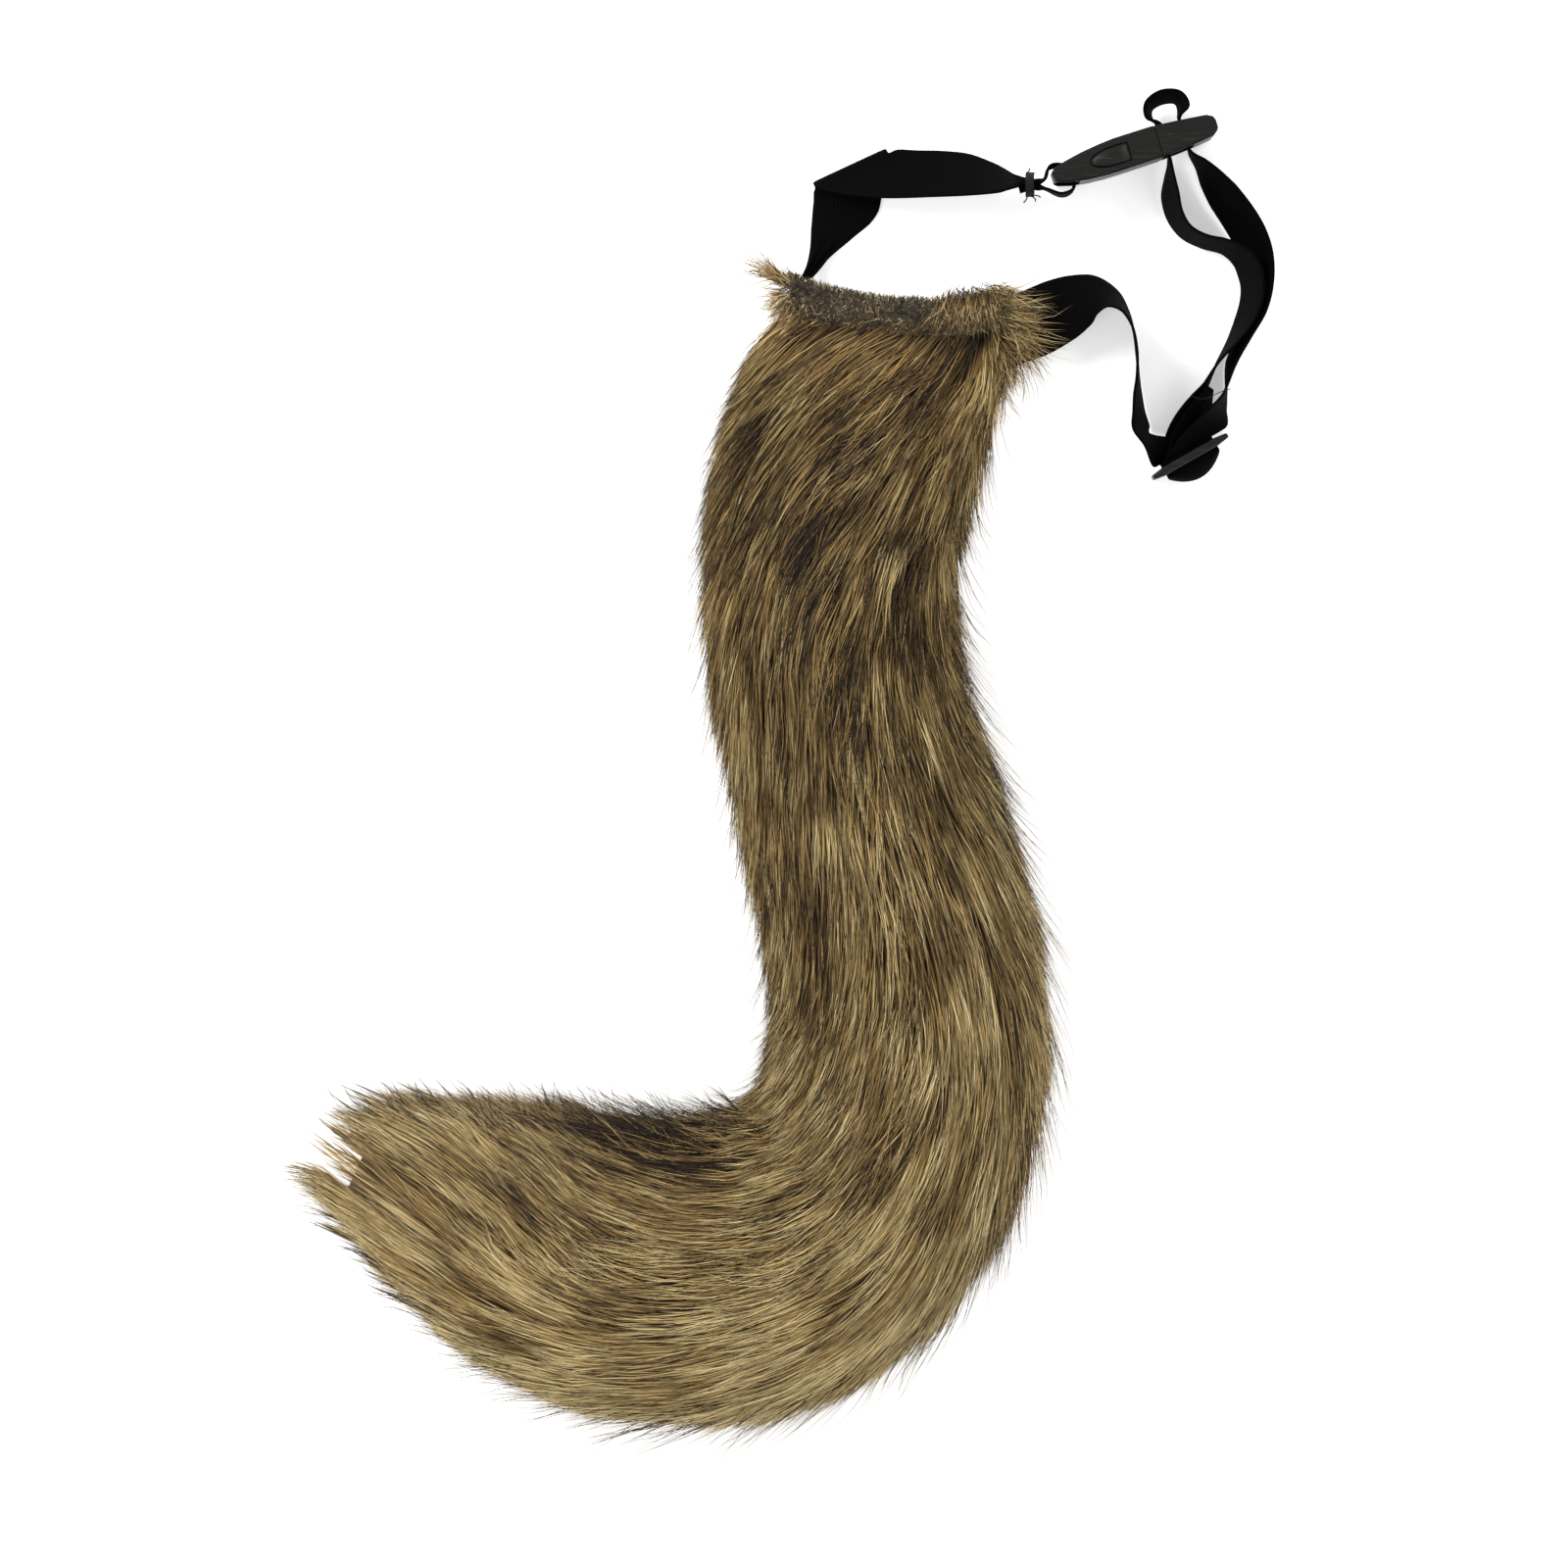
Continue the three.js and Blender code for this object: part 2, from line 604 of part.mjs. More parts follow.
function outlineBetween(low, high, shrink = 0) {
  const inside = buckleOutline.filter(({ u }) => u * buckleLength > low && u * buckleLength < high);
  const rows = [
    { u: low / buckleLength, ...ends(low) },
    ...inside,
    { u: high / buckleLength, ...ends(high) },
  ];
  const top = rows.map(({ u, top: edge }) => [u * buckleLength, edge * buckleThickness - shrink]);
  const bottom = rows.map(({ u, bottom: edge }) => [u * buckleLength, edge * buckleThickness + shrink]);
  return [...bottom, ...top.reverse()];
}

function ends(at) {
  const u = at / buckleLength;
  let row = 0;
  while (row + 2 < buckleOutline.length && buckleOutline[row + 1].u < u) row += 1;
  const low = buckleOutline[row];
  const high = buckleOutline[row + 1];
  const share = (u - low.u) / (high.u - low.u);
  return {
    top: THREE.MathUtils.lerp(low.top, high.top, share),
    bottom: THREE.MathUtils.lerp(low.bottom, high.bottom, share),
  };
}

// The two side faces of the buckle, each a step lower all round than the body between them
function crowns(low, high, crown) {
  const outline = outlineBetween(low, high, crown / 2);
  const near = upright(outline, 0, crown + joinOverlap);
  const far = upright(outline, buckleWidth - crown - joinOverlap, buckleWidth);
  return solidFrom(near).add(solidFrom(far));
}

// The half with the release windows, held by the left strap
function buckleSocket() {
  const body = upright(outlineBetween(0, socketLength), socketCrown, buckleWidth - socketCrown);
  let solid = solidFrom(body).add(crowns(crownSetback, socketLength, socketCrown));
  const tall = buckleThickness;
  const slotLow = endBarLength;
  const slotHigh = endBarLength + endSlotLength;
  const strapLow = buckleMiddle - strapWidth / 2 - slotPlay;
  const strapHigh = buckleMiddle + strapWidth / 2 + slotPlay;
  solid = solid.subtract(block(slotLow, slotHigh, -tall, tall, strapLow, strapHigh));
  const barThick = endBarLength / 2;
  solid = solid.subtract(block(-1, slotLow + cutOverlap, barThick, tall, strapLow, strapHigh));
  solid = solid.subtract(block(-1, slotLow + cutOverlap, -tall, -barThick, strapLow, strapHigh));
  const roomStart = slotHigh + socketWall;
  const roomOutline = outlineBetween(roomStart, socketLength + 1, socketWall);
  const room = upright(roomOutline, sideWall, buckleWidth - sideWall);
  solid = solid.subtract(solidFrom(room));
  const window = bulletOutline(windowFromEnd, windowLength, windowHeight);
  solid = solid.subtract(solidFrom(upright(window, -1, buckleWidth + 1)));
  return intoBuckleFrame(geometryFrom(solid));
}

// A window that is half an oval towards the strap's end and square towards the other half
function bulletOutline(middleU, length, height, sides = 10) {
  const nose = length * 0.6;
  const square = middleU + length / 2;
  const outline = [[square, -height / 2], [square, height / 2]];
  for (let side = 0; side <= sides; side += 1) {
    const turn = Math.PI / 2 + (Math.PI * side) / sides;
    outline.push([middleU - length / 2 + nose * (1 + Math.cos(turn)), (height / 2) * Math.sin(turn)]);
  }
  return outline;
}

// The half with the prongs and the ladder bars
function bucklePlug() {
  const start = socketLength + gap;
  const stop = start + plugLength;
  const tall = buckleThickness;
  const strapLow = buckleMiddle - strapWidth / 2 - slotPlay;
  const strapHigh = buckleMiddle + strapWidth / 2 + slotPlay;
  const body = upright(outlineBetween(start, stop), plugCrown, buckleWidth - plugCrown);
  let solid = solidFrom(body).add(crowns(start, stop - crownSetback, plugCrown));
  for (const middle of [slotAMiddle, slotBMiddle]) {
    const low = middle - ladderSlotLength / 2;
    solid = solid.subtract(block(low, low + ladderSlotLength, -tall, tall, strapLow, strapHigh));
  }
  const barStart = slotAMiddle + ladderSlotLength / 2 - cutOverlap;
  const barStop = slotBMiddle - ladderSlotLength / 2 + cutOverlap;
  for (const side of [1, -1]) {
    const edges = [side * tall, side * (ladderBarThickness / 2)].sort((a, b) => a - b);
    solid = solid.subtract(block(barStart, barStop, ...edges, strapLow, strapHigh));
  }
  solid = solid.add(plugProngs(start));
  return intoBuckleFrame(geometryFrom(solid));
}

// The cross bar in the socket's mouth, two springy prongs with their buttons and a guiding tongue
function plugProngs(start) {
  const mouth = ends(start);
  const under = mouth.bottom * buckleThickness + socketWall + gap;
  const over = mouth.top * buckleThickness - socketWall - gap;
  const low = sideWall + gap;
  const high = buckleWidth - sideWall - gap;
  let solid = block(start - prongBaseLength, start + ladderLead, under, over, low, high);
  for (const [a, b] of [[low, low + prongWidth], [high - prongWidth, high]]) {
    solid = solid.add(block(start - prongLength, start, -prongHeight / 2, prongHeight / 2, a, b));
  }
  const [tongueLow, tongueHigh] = [buckleMiddle - tongueWidth / 2, buckleMiddle + tongueWidth / 2];
  const tongueTop = tongueThickness / 2;
  solid = solid.add(block(start - tongueLength, start, -tongueTop, tongueTop, tongueLow, tongueHigh));
  const button = bulletOutline(windowFromEnd, windowLength - 2 * gap, windowHeight - 2 * gap);
  solid = solid.add(solidFrom(upright(button, gap, low + prongWidth * 0.5)));
  solid = solid.add(solidFrom(upright(button, high - prongWidth * 0.5, buckleWidth - gap)));
  return solid;
}

// The slider: a plate stood on its long side, thinner at its ends, with two slots and a bar
function slider() {
  const end = sliderLength / 2;
  const thick = sliderThickness / 2;
  const thin = thick * sliderEndShare;
  const outline = [
    [-end, -thin],
    [-end + sliderEnd, -thick],
    [end - sliderEnd, -thick],
    [end, -thin],
    [end, thin],
    [end - sliderEnd, thick],
    [-end + sliderEnd, thick],
    [-end, thin],
  ];
  let solid = solidFrom(upright(outline, -sliderHeight / 2, sliderHeight / 2));
  const half = sliderSlotLength / 2;
  for (const side of [1, -1]) {
    const edges = [side * (sliderBar / 2), side * sliderSlotEdge].sort((a, b) => a - b);
    solid = solid.subtract(block(-half, half, -sliderThickness, sliderThickness, ...edges));
  }
  const geometry = geometryFrom(solid);
  geometry.rotateZ(degrees(sliderHeading));
  geometry.translate(sliderMiddle.x * routeStep, sliderMiddle.y * routeStep, sliderHeight / 2);
  return geometry;
}

// An oval round the origin
function ovalOutline(length, height, sides = 16) {
  const outline = [];
  for (let side = 0; side < sides; side += 1) {
    const turn = (2 * Math.PI * side) / sides;
    outline.push([(length / 2) * Math.cos(turn), (height / 2) * Math.sin(turn)]);
  }
  return outline;
}

// The thread wound round both layers of the gathered strap
function threadTie() {
  const innerAcross = (gatherPitch + strapThickness) * Math.SQRT2 + 2 * gap + tieSlack;
  const innerHigh = strapWidth * gatherShare * Math.SQRT2 + 2 * gap + tieSlack;
  const outer = ovalOutline(innerHigh + 2 * tieWall, innerAcross + 2 * tieWall);
  const shape = new THREE.Shape(outer.map(([x, y]) => new THREE.Vector2(x, y)));
  const hole = ovalOutline(innerHigh, innerAcross);
  shape.holes.push(new THREE.Path(hole.map(([x, y]) => new THREE.Vector2(x, y))));
  const geometry = new THREE.ExtrudeGeometry(shape, { depth: tieWidth, bevelEnabled: false });
  geometry.translate(0, 0, -tieWidth / 2);
  geometry.rotateY(Math.PI / 2);
  geometry.translate(gatherMiddle.x * routeStep, gatherMiddle.y * routeStep, gatherMiddle.up * strapWidth);
  return geometry;
}

// The short-pile band folded over the tail's top edge, or the room it needs when grown by a clearance
function bandSolid(grow = 0) {
  const steps = 14;
  const facing = headingVector(tailSections[0].heading + tailSections[0].skew);
  const side = headingVector(tailSections[0].heading + tailSections[0].skew + 90);
  const outTop = hemThickness + 2 * (bandWall + gap);
  const edge = -bandWall - gap;
  const round = bandWall * 0.6;
  // along: forwards over the tail from its edge, height: up from the floor
  const outline = [
    { along: bandDepth + grow, height: -grow },
    { along: edge + round - grow, height: -grow },
    { along: edge - grow, height: round - grow },
    { along: edge - grow, height: outTop - round + grow },
    { along: edge + round - grow, height: outTop + grow },
    { along: bandDepth + grow, height: outTop + grow },
    { along: bandDepth + grow, height: outTop - bandWall - grow },
    { along: -gap + grow, height: outTop - bandWall - grow },
    { along: -gap + grow, height: bandWall + grow },
    { along: bandDepth + grow, height: bandWall + grow },
  ];
  const rings = [];
  for (let step = 0; step <= steps; step += 1) {
    const share = (2 * step) / steps - 1;
    const dip = hemDip * (1 - share * share);
    const across = share * (hemWidth / 2 - bandEndGap + grow);
    rings.push(outline.map(({ along, height }) => side.clone()
      .multiplyScalar(across)
      .addScaledVector(facing, along + dip)
      .setZ(height)));
  }
  return solidFrom(loftConcave(rings, facing));
}

// A loft whose end rings are not convex, closed by triangles of the flat outline
function loftConcave(rings, facing) {
  const count = rings[0].length;
  const points = rings.flat();
  const faces = [];
  for (let ring = 0; ring + 1 < rings.length; ring += 1) {
    for (let side = 0; side < count; side += 1) {
      const a = ring * count + side;
      const b = ring * count + ((side + 1) % count);
      faces.push(a, b, b + count, a, b + count, a + count);
    }
  }
  for (const first of [0, (rings.length - 1) * count]) {
    const ring = points.slice(first, first + count);
    const flat = ring.map((point) => new THREE.Vector2(point.dot(facing), point.z));
    const wanted = first === 0 ? -1 : 1;
    for (const [a, b, c] of THREE.ShapeUtils.triangulateShape(flat, [])) {
      const turned = THREE.ShapeUtils.area([flat[a], flat[b], flat[c]]) * THREE.ShapeUtils.area(flat);
      const corners = turned * wanted > 0 ? [a, b, c] : [c, b, a];
      faces.push(...corners.map((corner) => first + corner));
    }
  }
  const geometry = new THREE.BufferGeometry().setFromPoints(points);
  geometry.setIndex(facingOut(points, faces));
  return geometry;
}

function hemBand(leftStrap, rightStrap) {
  const solid = bandSolid().subtract(ribbonRoom(leftStrap)).subtract(ribbonRoom(rightStrap));
  return geometryFrom(largestPart(solid));
}

// The room a strap needs in the piece that it is sewn into
function ribbonRoom(stations) {
  return solidFrom(ribbon(stations, sewnPlay));
}

// The stuffed tail: core and locks in one body, trimmed at the floor, with room for band and straps
function furTail(leftStrap, rightStrap) {
  let solid = wasm.Manifold.union([solidFrom(furCore()), ...furLocks().map(solidFrom)]);
  for (const cut of [belowFloor(), bandSolid(gap), ribbonRoom(leftStrap), ribbonRoom(rightStrap)]) {
    solid = solid.subtract(cut);
  }
  return geometryFrom(largestPart(solid));
}

// Crumbs that a cut leaves behind are dropped
function largestPart(solid) {
  const parts = solid.decompose();
  return parts.reduce((best, part) => (part.volume() > best.volume() ? part : best));
}

// Finishes
const finishes = {
  fur: { color: 0x7d6848, roughness: 0.9, metalness: 0 },
  pile: { color: 0x4a4034, roughness: 0.95, metalness: 0 },
  strap: { color: 0x111112, roughness: 0.85, metalness: 0 },
  plastic: { color: 0x242423, roughness: 0.42, metalness: 0 },
  thread: { color: 0x1b1a1a, roughness: 0.8, metalness: 0 },
};

function piece(name, geometry, finish) {
  const mesh = new THREE.Mesh(geometry, new THREE.MeshStandardMaterial(finishes[finish]));
  mesh.name = name;
  return mesh;
}

const leftStations = leftStrapStations();
const rightStations = rightStrapStations();
const pieces = [
  piece('fur_tail', furTail(leftStations, rightStations), 'fur'),
  piece('hem_band', hemBand(leftStations, rightStations), 'pile'),
  piece('strap_left', ribbon(leftStations), 'strap'),
  piece('strap_right', ribbon(rightStations), 'strap'),
  piece('buckle_socket', buckleSocket(), 'plastic'),
  piece('buckle_plug', bucklePlug(), 'plastic'),
  piece('slider', slider(), 'plastic'),
  piece('thread_tie', threadTie(), 'thread'),
];

// The origin goes under the middle of the whole box
const tail = new THREE.Group();
tail.name = 'costume_tail';
const box = new THREE.Box3();
for (const mesh of pieces) box.expandByObject(mesh);
const middle = box.getCenter(new THREE.Vector3());
for (const mesh of pieces) {
  mesh.position.set(-middle.x, -middle.y, 0);
  tail.add(mesh);
}

export default tail;
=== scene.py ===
# %% [markdown]
# # A costume tail on its elastic strap
# The tail is a stuffed tube of long-pile fabric that lies in the shape of a J. Almost everything
# that shows on it is hair, so this lesson spends most of its cells on hair: where each strand
# grows, which way it runs, how strands gather into locks and how their colour changes from root
# to tip. The strap, the buckle and the slider come after it, and the floor, light and camera are
# last.

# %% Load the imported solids
import math

import bmesh
import bpy
import numpy as np
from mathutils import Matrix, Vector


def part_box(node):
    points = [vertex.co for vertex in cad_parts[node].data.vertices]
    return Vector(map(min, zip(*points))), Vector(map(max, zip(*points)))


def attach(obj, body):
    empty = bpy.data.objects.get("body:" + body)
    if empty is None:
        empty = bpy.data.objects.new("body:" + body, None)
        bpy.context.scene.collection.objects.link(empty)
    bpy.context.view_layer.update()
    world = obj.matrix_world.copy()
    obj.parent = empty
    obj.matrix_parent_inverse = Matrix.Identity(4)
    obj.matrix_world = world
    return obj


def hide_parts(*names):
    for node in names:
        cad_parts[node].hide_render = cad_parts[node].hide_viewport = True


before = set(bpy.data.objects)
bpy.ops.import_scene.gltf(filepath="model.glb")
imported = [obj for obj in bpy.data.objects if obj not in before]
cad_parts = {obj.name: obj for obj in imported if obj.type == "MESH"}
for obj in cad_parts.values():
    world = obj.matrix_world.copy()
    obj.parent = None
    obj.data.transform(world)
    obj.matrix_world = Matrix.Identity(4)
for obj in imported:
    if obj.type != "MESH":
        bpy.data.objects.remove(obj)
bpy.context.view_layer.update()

MM = 0.001
print("solids:", sorted(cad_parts))

# %% [markdown]
# The solids were laid out from the middle of the tail's top edge, and then moved so that the
# origin is under the middle of the whole box. The thread tie is small and its place in that
# layout is known, so the middle of its box says how far everything was moved. Every shape below
# starts from that point.

# %% Find the middle of the tail's top edge
ROUTE_STEP = 0.4 * MM
STRAP_WIDTH = 28 * MM
GATHER_PLACE = np.array([132, 109.5]) * ROUTE_STEP
tie_low, tie_high = (np.array(corner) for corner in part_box("thread_tie"))
HEM_MIDDLE = np.append((tie_low + tie_high)[:2] / 2 - GATHER_PLACE, 0.0)
TOP_EDGE_PIXEL = np.array([918, 300])


def place_of_pixel(column, row):
    """The place on the floor under a pixel of the photograph, as x and y in metres."""
    return HEM_MIDDLE[:2] + (np.array([column, row]) - TOP_EDGE_PIXEL) * (ROUTE_STEP, -ROUTE_STEP)


print("top edge's middle in mm:", np.round(HEM_MIDDLE / MM, 2))

# %% [markdown]
# A strand needs numbers that look random and are the same on every run. A seeded generator gives
# them. Locks also need a slow change from place to place, which a lattice of random numbers gives
# when it is read with smooth steps between its points.

# %% Seeded chance and a smooth lattice of it
HAIR_SEED, LATTICE_SEED = 41, 7
LATTICE_SIZE = 96
chance = np.random.default_rng(HAIR_SEED)
LATTICE = np.random.default_rng(LATTICE_SEED).random((LATTICE_SIZE, LATTICE_SIZE))


def smooth_step(low, high, value):
    """0 below low, 1 above high, and 3 s^2 - 2 s^3 of the share s between them."""
    share = np.clip((value - low) / (high - low), 0, 1)
    return share * share * (3 - 2 * share)


def lattice_noise(x, y):
    """Lattice values at the four whole points round (x, y), mixed by smooth steps of the rest."""
    column, row = np.floor(x).astype(int), np.floor(y).astype(int)
    across, up = smooth_step(0, 1, x - column), smooth_step(0, 1, y - row)
    column, row = column % LATTICE_SIZE, row % LATTICE_SIZE
    next_column, next_row = (column + 1) % LATTICE_SIZE, (row + 1) % LATTICE_SIZE
    low = LATTICE[row, column] * (1 - across) + LATTICE[row, next_column] * across
    high = LATTICE[next_row, column] * (1 - across) + LATTICE[next_row, next_column] * across
    return low * (1 - up) + high * up


print("lattice points:", LATTICE.size, "their mean:", round(float(LATTICE.mean()), 3))

# %% [markdown]
# The tail is a tube round a curved middle line. Each row of the table gives, at a share of the
# length, the heading of that line and the width and thickness of the section as shares of the
# largest. Summing short steps along the headings draws the line itself. The same table shapes the
# solid tail, so the fur sits on it with no fitting.

# %% The tail's sections and its middle line
TAIL_LENGTH = 628 * MM
TAIL_WIDTH = 126 * MM
TAIL_THICKNESS = 62 * MM
HEM_WIDTH = 92 * MM
HEM_THICKNESS = 15 * MM
HEM_DIP = 7 * MM
LOCK_RISE = 5 * MM
BAND_DEPTH = 11 * MM
BAND_WALL = 2.5 * MM
GAP = 0.3 * MM
# columns: along, heading, skew, width, thick
SECTIONS = np.array([
    (0.0, 256, 10, 0.72, 0.3), (0.05, 252, 6, 0.84, 0.6), (0.12, 255, 0, 0.86, 0.84),
    (0.2, 269, 0, 0.83, 0.95), (0.28, 283, 0, 0.83, 1.0), (0.38, 286, 0, 0.87, 1.0),
    (0.46, 277, 0, 0.9, 1.0), (0.53, 258, 0, 0.92, 1.0), (0.59, 239, 0, 0.94, 1.0),
    (0.65, 210, 0, 1.0, 1.0), (0.71, 187, 0, 1.0, 1.0), (0.78, 167, 0, 0.96, 0.96),
    (0.84, 157, 0, 0.84, 0.86), (0.9, 153, 0, 0.63, 0.7), (0.95, 155, 0, 0.4, 0.5),
    (1.0, 156, 0, 0.12, 0.2),
])
HEADING, SKEW, WIDTH, THICK = 1, 2, 3, 4
LINE_STEPS = 200


def read_column(column, along):
    """The column between two rows: half of a straight share and half of a smooth step of it."""
    row = np.clip(np.searchsorted(SECTIONS[:, 0], along) - 1, 0, len(SECTIONS) - 2)
    start, stop = SECTIONS[row, 0], SECTIONS[row + 1, 0]
    share = np.clip((along - start) / (stop - start), 0, 1)
    mixed = 0.5 * (share + smooth_step(0, 1, share))
    return SECTIONS[row, column] * (1 - mixed) + SECTIONS[row + 1, column] * mixed


def heading_vector(angle):
    """The level unit vector (cos, sin, 0) of an angle in degrees."""
    turn = np.radians(angle)
    return np.stack([np.cos(turn), np.sin(turn), np.zeros_like(turn)], axis=-1)


line_headings = read_column(HEADING, (np.arange(LINE_STEPS) + 0.5) / LINE_STEPS)
line_moves = heading_vector(line_headings) * (TAIL_LENGTH / LINE_STEPS)
TAIL_LINE = HEM_MIDDLE + np.vstack([np.zeros(3), np.cumsum(line_moves, axis=0)])
print("middle line ends at, in mm:", np.round(TAIL_LINE[-1] / MM, 1))

# %% [markdown]
# One function turns a place on the tail into a point: `along` runs from the top edge to the tip,
# `turn` goes round the section from its right edge over the top, and `rise` lifts the point off
# the surface. It takes whole arrays, so a hundred thousand places cost no more code than one.
# `hold_half` and `hold_thick` keep the section from closing in under a hair, which lets the hairs
# of the tapered end stand out like a brush.


# %% Points on the tail's surface
HEM_LEAD = 2.2 * BAND_DEPTH
WIDEST_HEIGHT = 0.38
SIDE_POWER, TOP_POWER, UNDER_SLOPE = 0.8, 0.9, 1.35


def hem_share(along):
    """1 at the top edge, falling straight to 0 at HEM_LEAD from it."""
    return np.clip(1 - along * TAIL_LENGTH / HEM_LEAD, 0, 1)


def half_width(along):
    """Half the section's width, led over to the hem's width near the top edge."""
    hem = hem_share(along)
    full = read_column(WIDTH, along) * TAIL_WIDTH / 2 - LOCK_RISE
    return full * (1 - hem) + HEM_WIDTH / 2 * hem


def whole_thick(along):
    """The section's height, led over to the hem's thickness near the top edge."""
    hem = hem_share(along)
    full = read_column(THICK, along) * TAIL_THICKNESS - LOCK_RISE / 2
    return full * (1 - hem) + HEM_THICKNESS * hem


def tail_point(along, turn, rise=0.0, hold_half=0.0, hold_thick=0.0):
    """Middle line + across * (cos turn)^0.8 of half the width, at a height from (sin turn)^0.9.

    The widest place is at WIDEST_HEIGHT, and below it the section runs in to a flat underside."""
    inside = np.clip(along, 0, 1)
    at = inside * LINE_STEPS
    step = np.minimum(at.astype(int), LINE_STEPS - 1)
    share = (at - step)[..., None]
    middle = TAIL_LINE[step] * (1 - share) + TAIL_LINE[step + 1] * share
    facing = read_column(HEADING, inside) + read_column(SKEW, inside)
    middle = middle + heading_vector(facing) * ((along - inside) * TAIL_LENGTH)[..., None]
    hem = hem_share(inside)
    half = np.maximum(half_width(inside), hold_half)
    thick = np.maximum(whole_thick(inside), hold_thick)
    cosine, sine = np.cos(turn), np.sin(turn)
    across = np.sign(cosine) * np.abs(cosine) ** SIDE_POWER * (half + rise)
    above = np.clip(sine, 0, 1)
    height = np.where(sine > 0, WIDEST_HEIGHT + (1 - WIDEST_HEIGHT) * above ** TOP_POWER,
                      np.maximum(0, WIDEST_HEIGHT * (1 + UNDER_SLOPE * sine)))
    dip = HEM_DIP * hem * (1 - (across / half) ** 2)
    point = middle + heading_vector(facing + 90) * across[..., None]
    point = point + heading_vector(facing) * dip[..., None]
    point[..., 2] = (BAND_WALL + GAP) * hem + height * thick + np.where(sine > 0, rise * sine, 0)
    return point


# %% [markdown]
# Meshes with hundreds of thousands of faces are slow to hand over one face at a time. So one helper
# puts whole numpy arrays into a mesh, and another numbers the quads between the rings of a tube. A
# third makes the object and says what it rides on and which slot its finish belongs to.


# %% Arrays into meshes
def put_object(name, mesh, material):
    """An object at the origin that rides on the one body and takes its finish from a slot."""
    piece = bpy.data.objects.new(name, mesh)
    bpy.context.scene.collection.objects.link(piece)
    mesh.materials.append(material)
    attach(piece, "root")
    return piece


def mesh_from_faces(name, points, faces, uv=None, uv_name="OFBake"):
    """A smooth mesh from points (n, 3), faces (m, 3 or 4) and one uv for each face corner."""
    mesh = bpy.data.meshes.new(name)
    sides = faces.shape[1]
    mesh.vertices.add(len(points))
    mesh.vertices.foreach_set("co", points.astype(np.float32).ravel())
    mesh.loops.add(faces.size)
    mesh.loops.foreach_set("vertex_index", faces.astype(np.int32).ravel())
    mesh.polygons.add(len(faces))
    mesh.polygons.foreach_set("loop_start", np.arange(0, faces.size, sides, dtype=np.int32))
    mesh.update(calc_edges=True)
    mesh.polygons.foreach_set("use_smooth", np.ones(len(faces), dtype=bool))
    if uv is not None:
        layer = mesh.uv_layers.new(name=uv_name)
        layer.data.foreach_set("uv", uv.astype(np.float32).ravel())
    mesh.validate()
    return mesh


def tube_faces(rings, sides):
    """Quads between rings of points numbered one after another, each ring closed on itself."""
    ring, side = np.meshgrid(np.arange(rings - 1), np.arange(sides), indexing="ij")
    after = (side + 1) % sides
    start = ring * sides
    quads = [start + side, start + after, start + sides + after, start + sides + side]
    return np.stack(quads, axis=-1).reshape(-1, 4)


# %% [markdown]
# Materials are small node graphs. A helper links sockets by name so that each finish below reads
# as a short list of what it is: a colour, a roughness and a little relief.


# %% A helper for node graphs
def srgb(text):
    """A colour written as six hex digits, taken to linear light by the usual 2.4 curve."""
    parts = np.array([int(text[at:at + 2], 16) for at in (0, 2, 4)]) / 255
    linear = np.where(parts <= 0.04045, parts / 12.92, ((parts + 0.055) / 1.055) ** 2.4)
    return (*linear.tolist(), 1.0)


class Graph:
    """A material with one Principled shader, and short calls that add, fill and link nodes."""

    def __init__(self, name, roughness, **sockets):
        self.material = bpy.data.materials.new(name)
        self.material.use_nodes = True
        self.tree = self.material.node_tree
        self.tree.nodes.clear()
        self.shader = self.node("ShaderNodeBsdfPrincipled")
        self.shader.inputs["Roughness"].default_value = roughness
        for socket, value in sockets.items():
            self.shader.inputs[socket.replace("_", " ")].default_value = value
        output = self.node("ShaderNodeOutputMaterial")
        self.link(self.shader.outputs["BSDF"], output.inputs["Surface"])

    def node(self, kind, **settings):
        """A new node with its settings."""
        made = self.tree.nodes.new(kind)
        for setting, value in settings.items():
            setattr(made, setting, value)
        return made

    def link(self, start, stop):
        self.tree.links.new(start, stop)

    def fill(self, socket, value):
        """A number becomes the socket's own value, and another socket is linked to it."""
        if isinstance(value, (int, float)):
            socket.default_value = value
        else:
            self.link(value, socket)

    def uv(self, name):
        """The two numbers of a UV map, as two sockets."""
        read = self.node("ShaderNodeUVMap", uv_map=name)
        split = self.node("ShaderNodeSeparateXYZ")
        self.link(read.outputs["UV"], split.inputs[0])
        return split.outputs["X"], split.outputs["Y"]

    def place(self):
        """Object coordinates."""
        return self.node("ShaderNodeTexCoord").outputs["Object"]


# %% [markdown]
# On top of that come the few textures and mixes that this object needs, and one call for each
# thing that a finish has: its colour, its roughness and its relief.


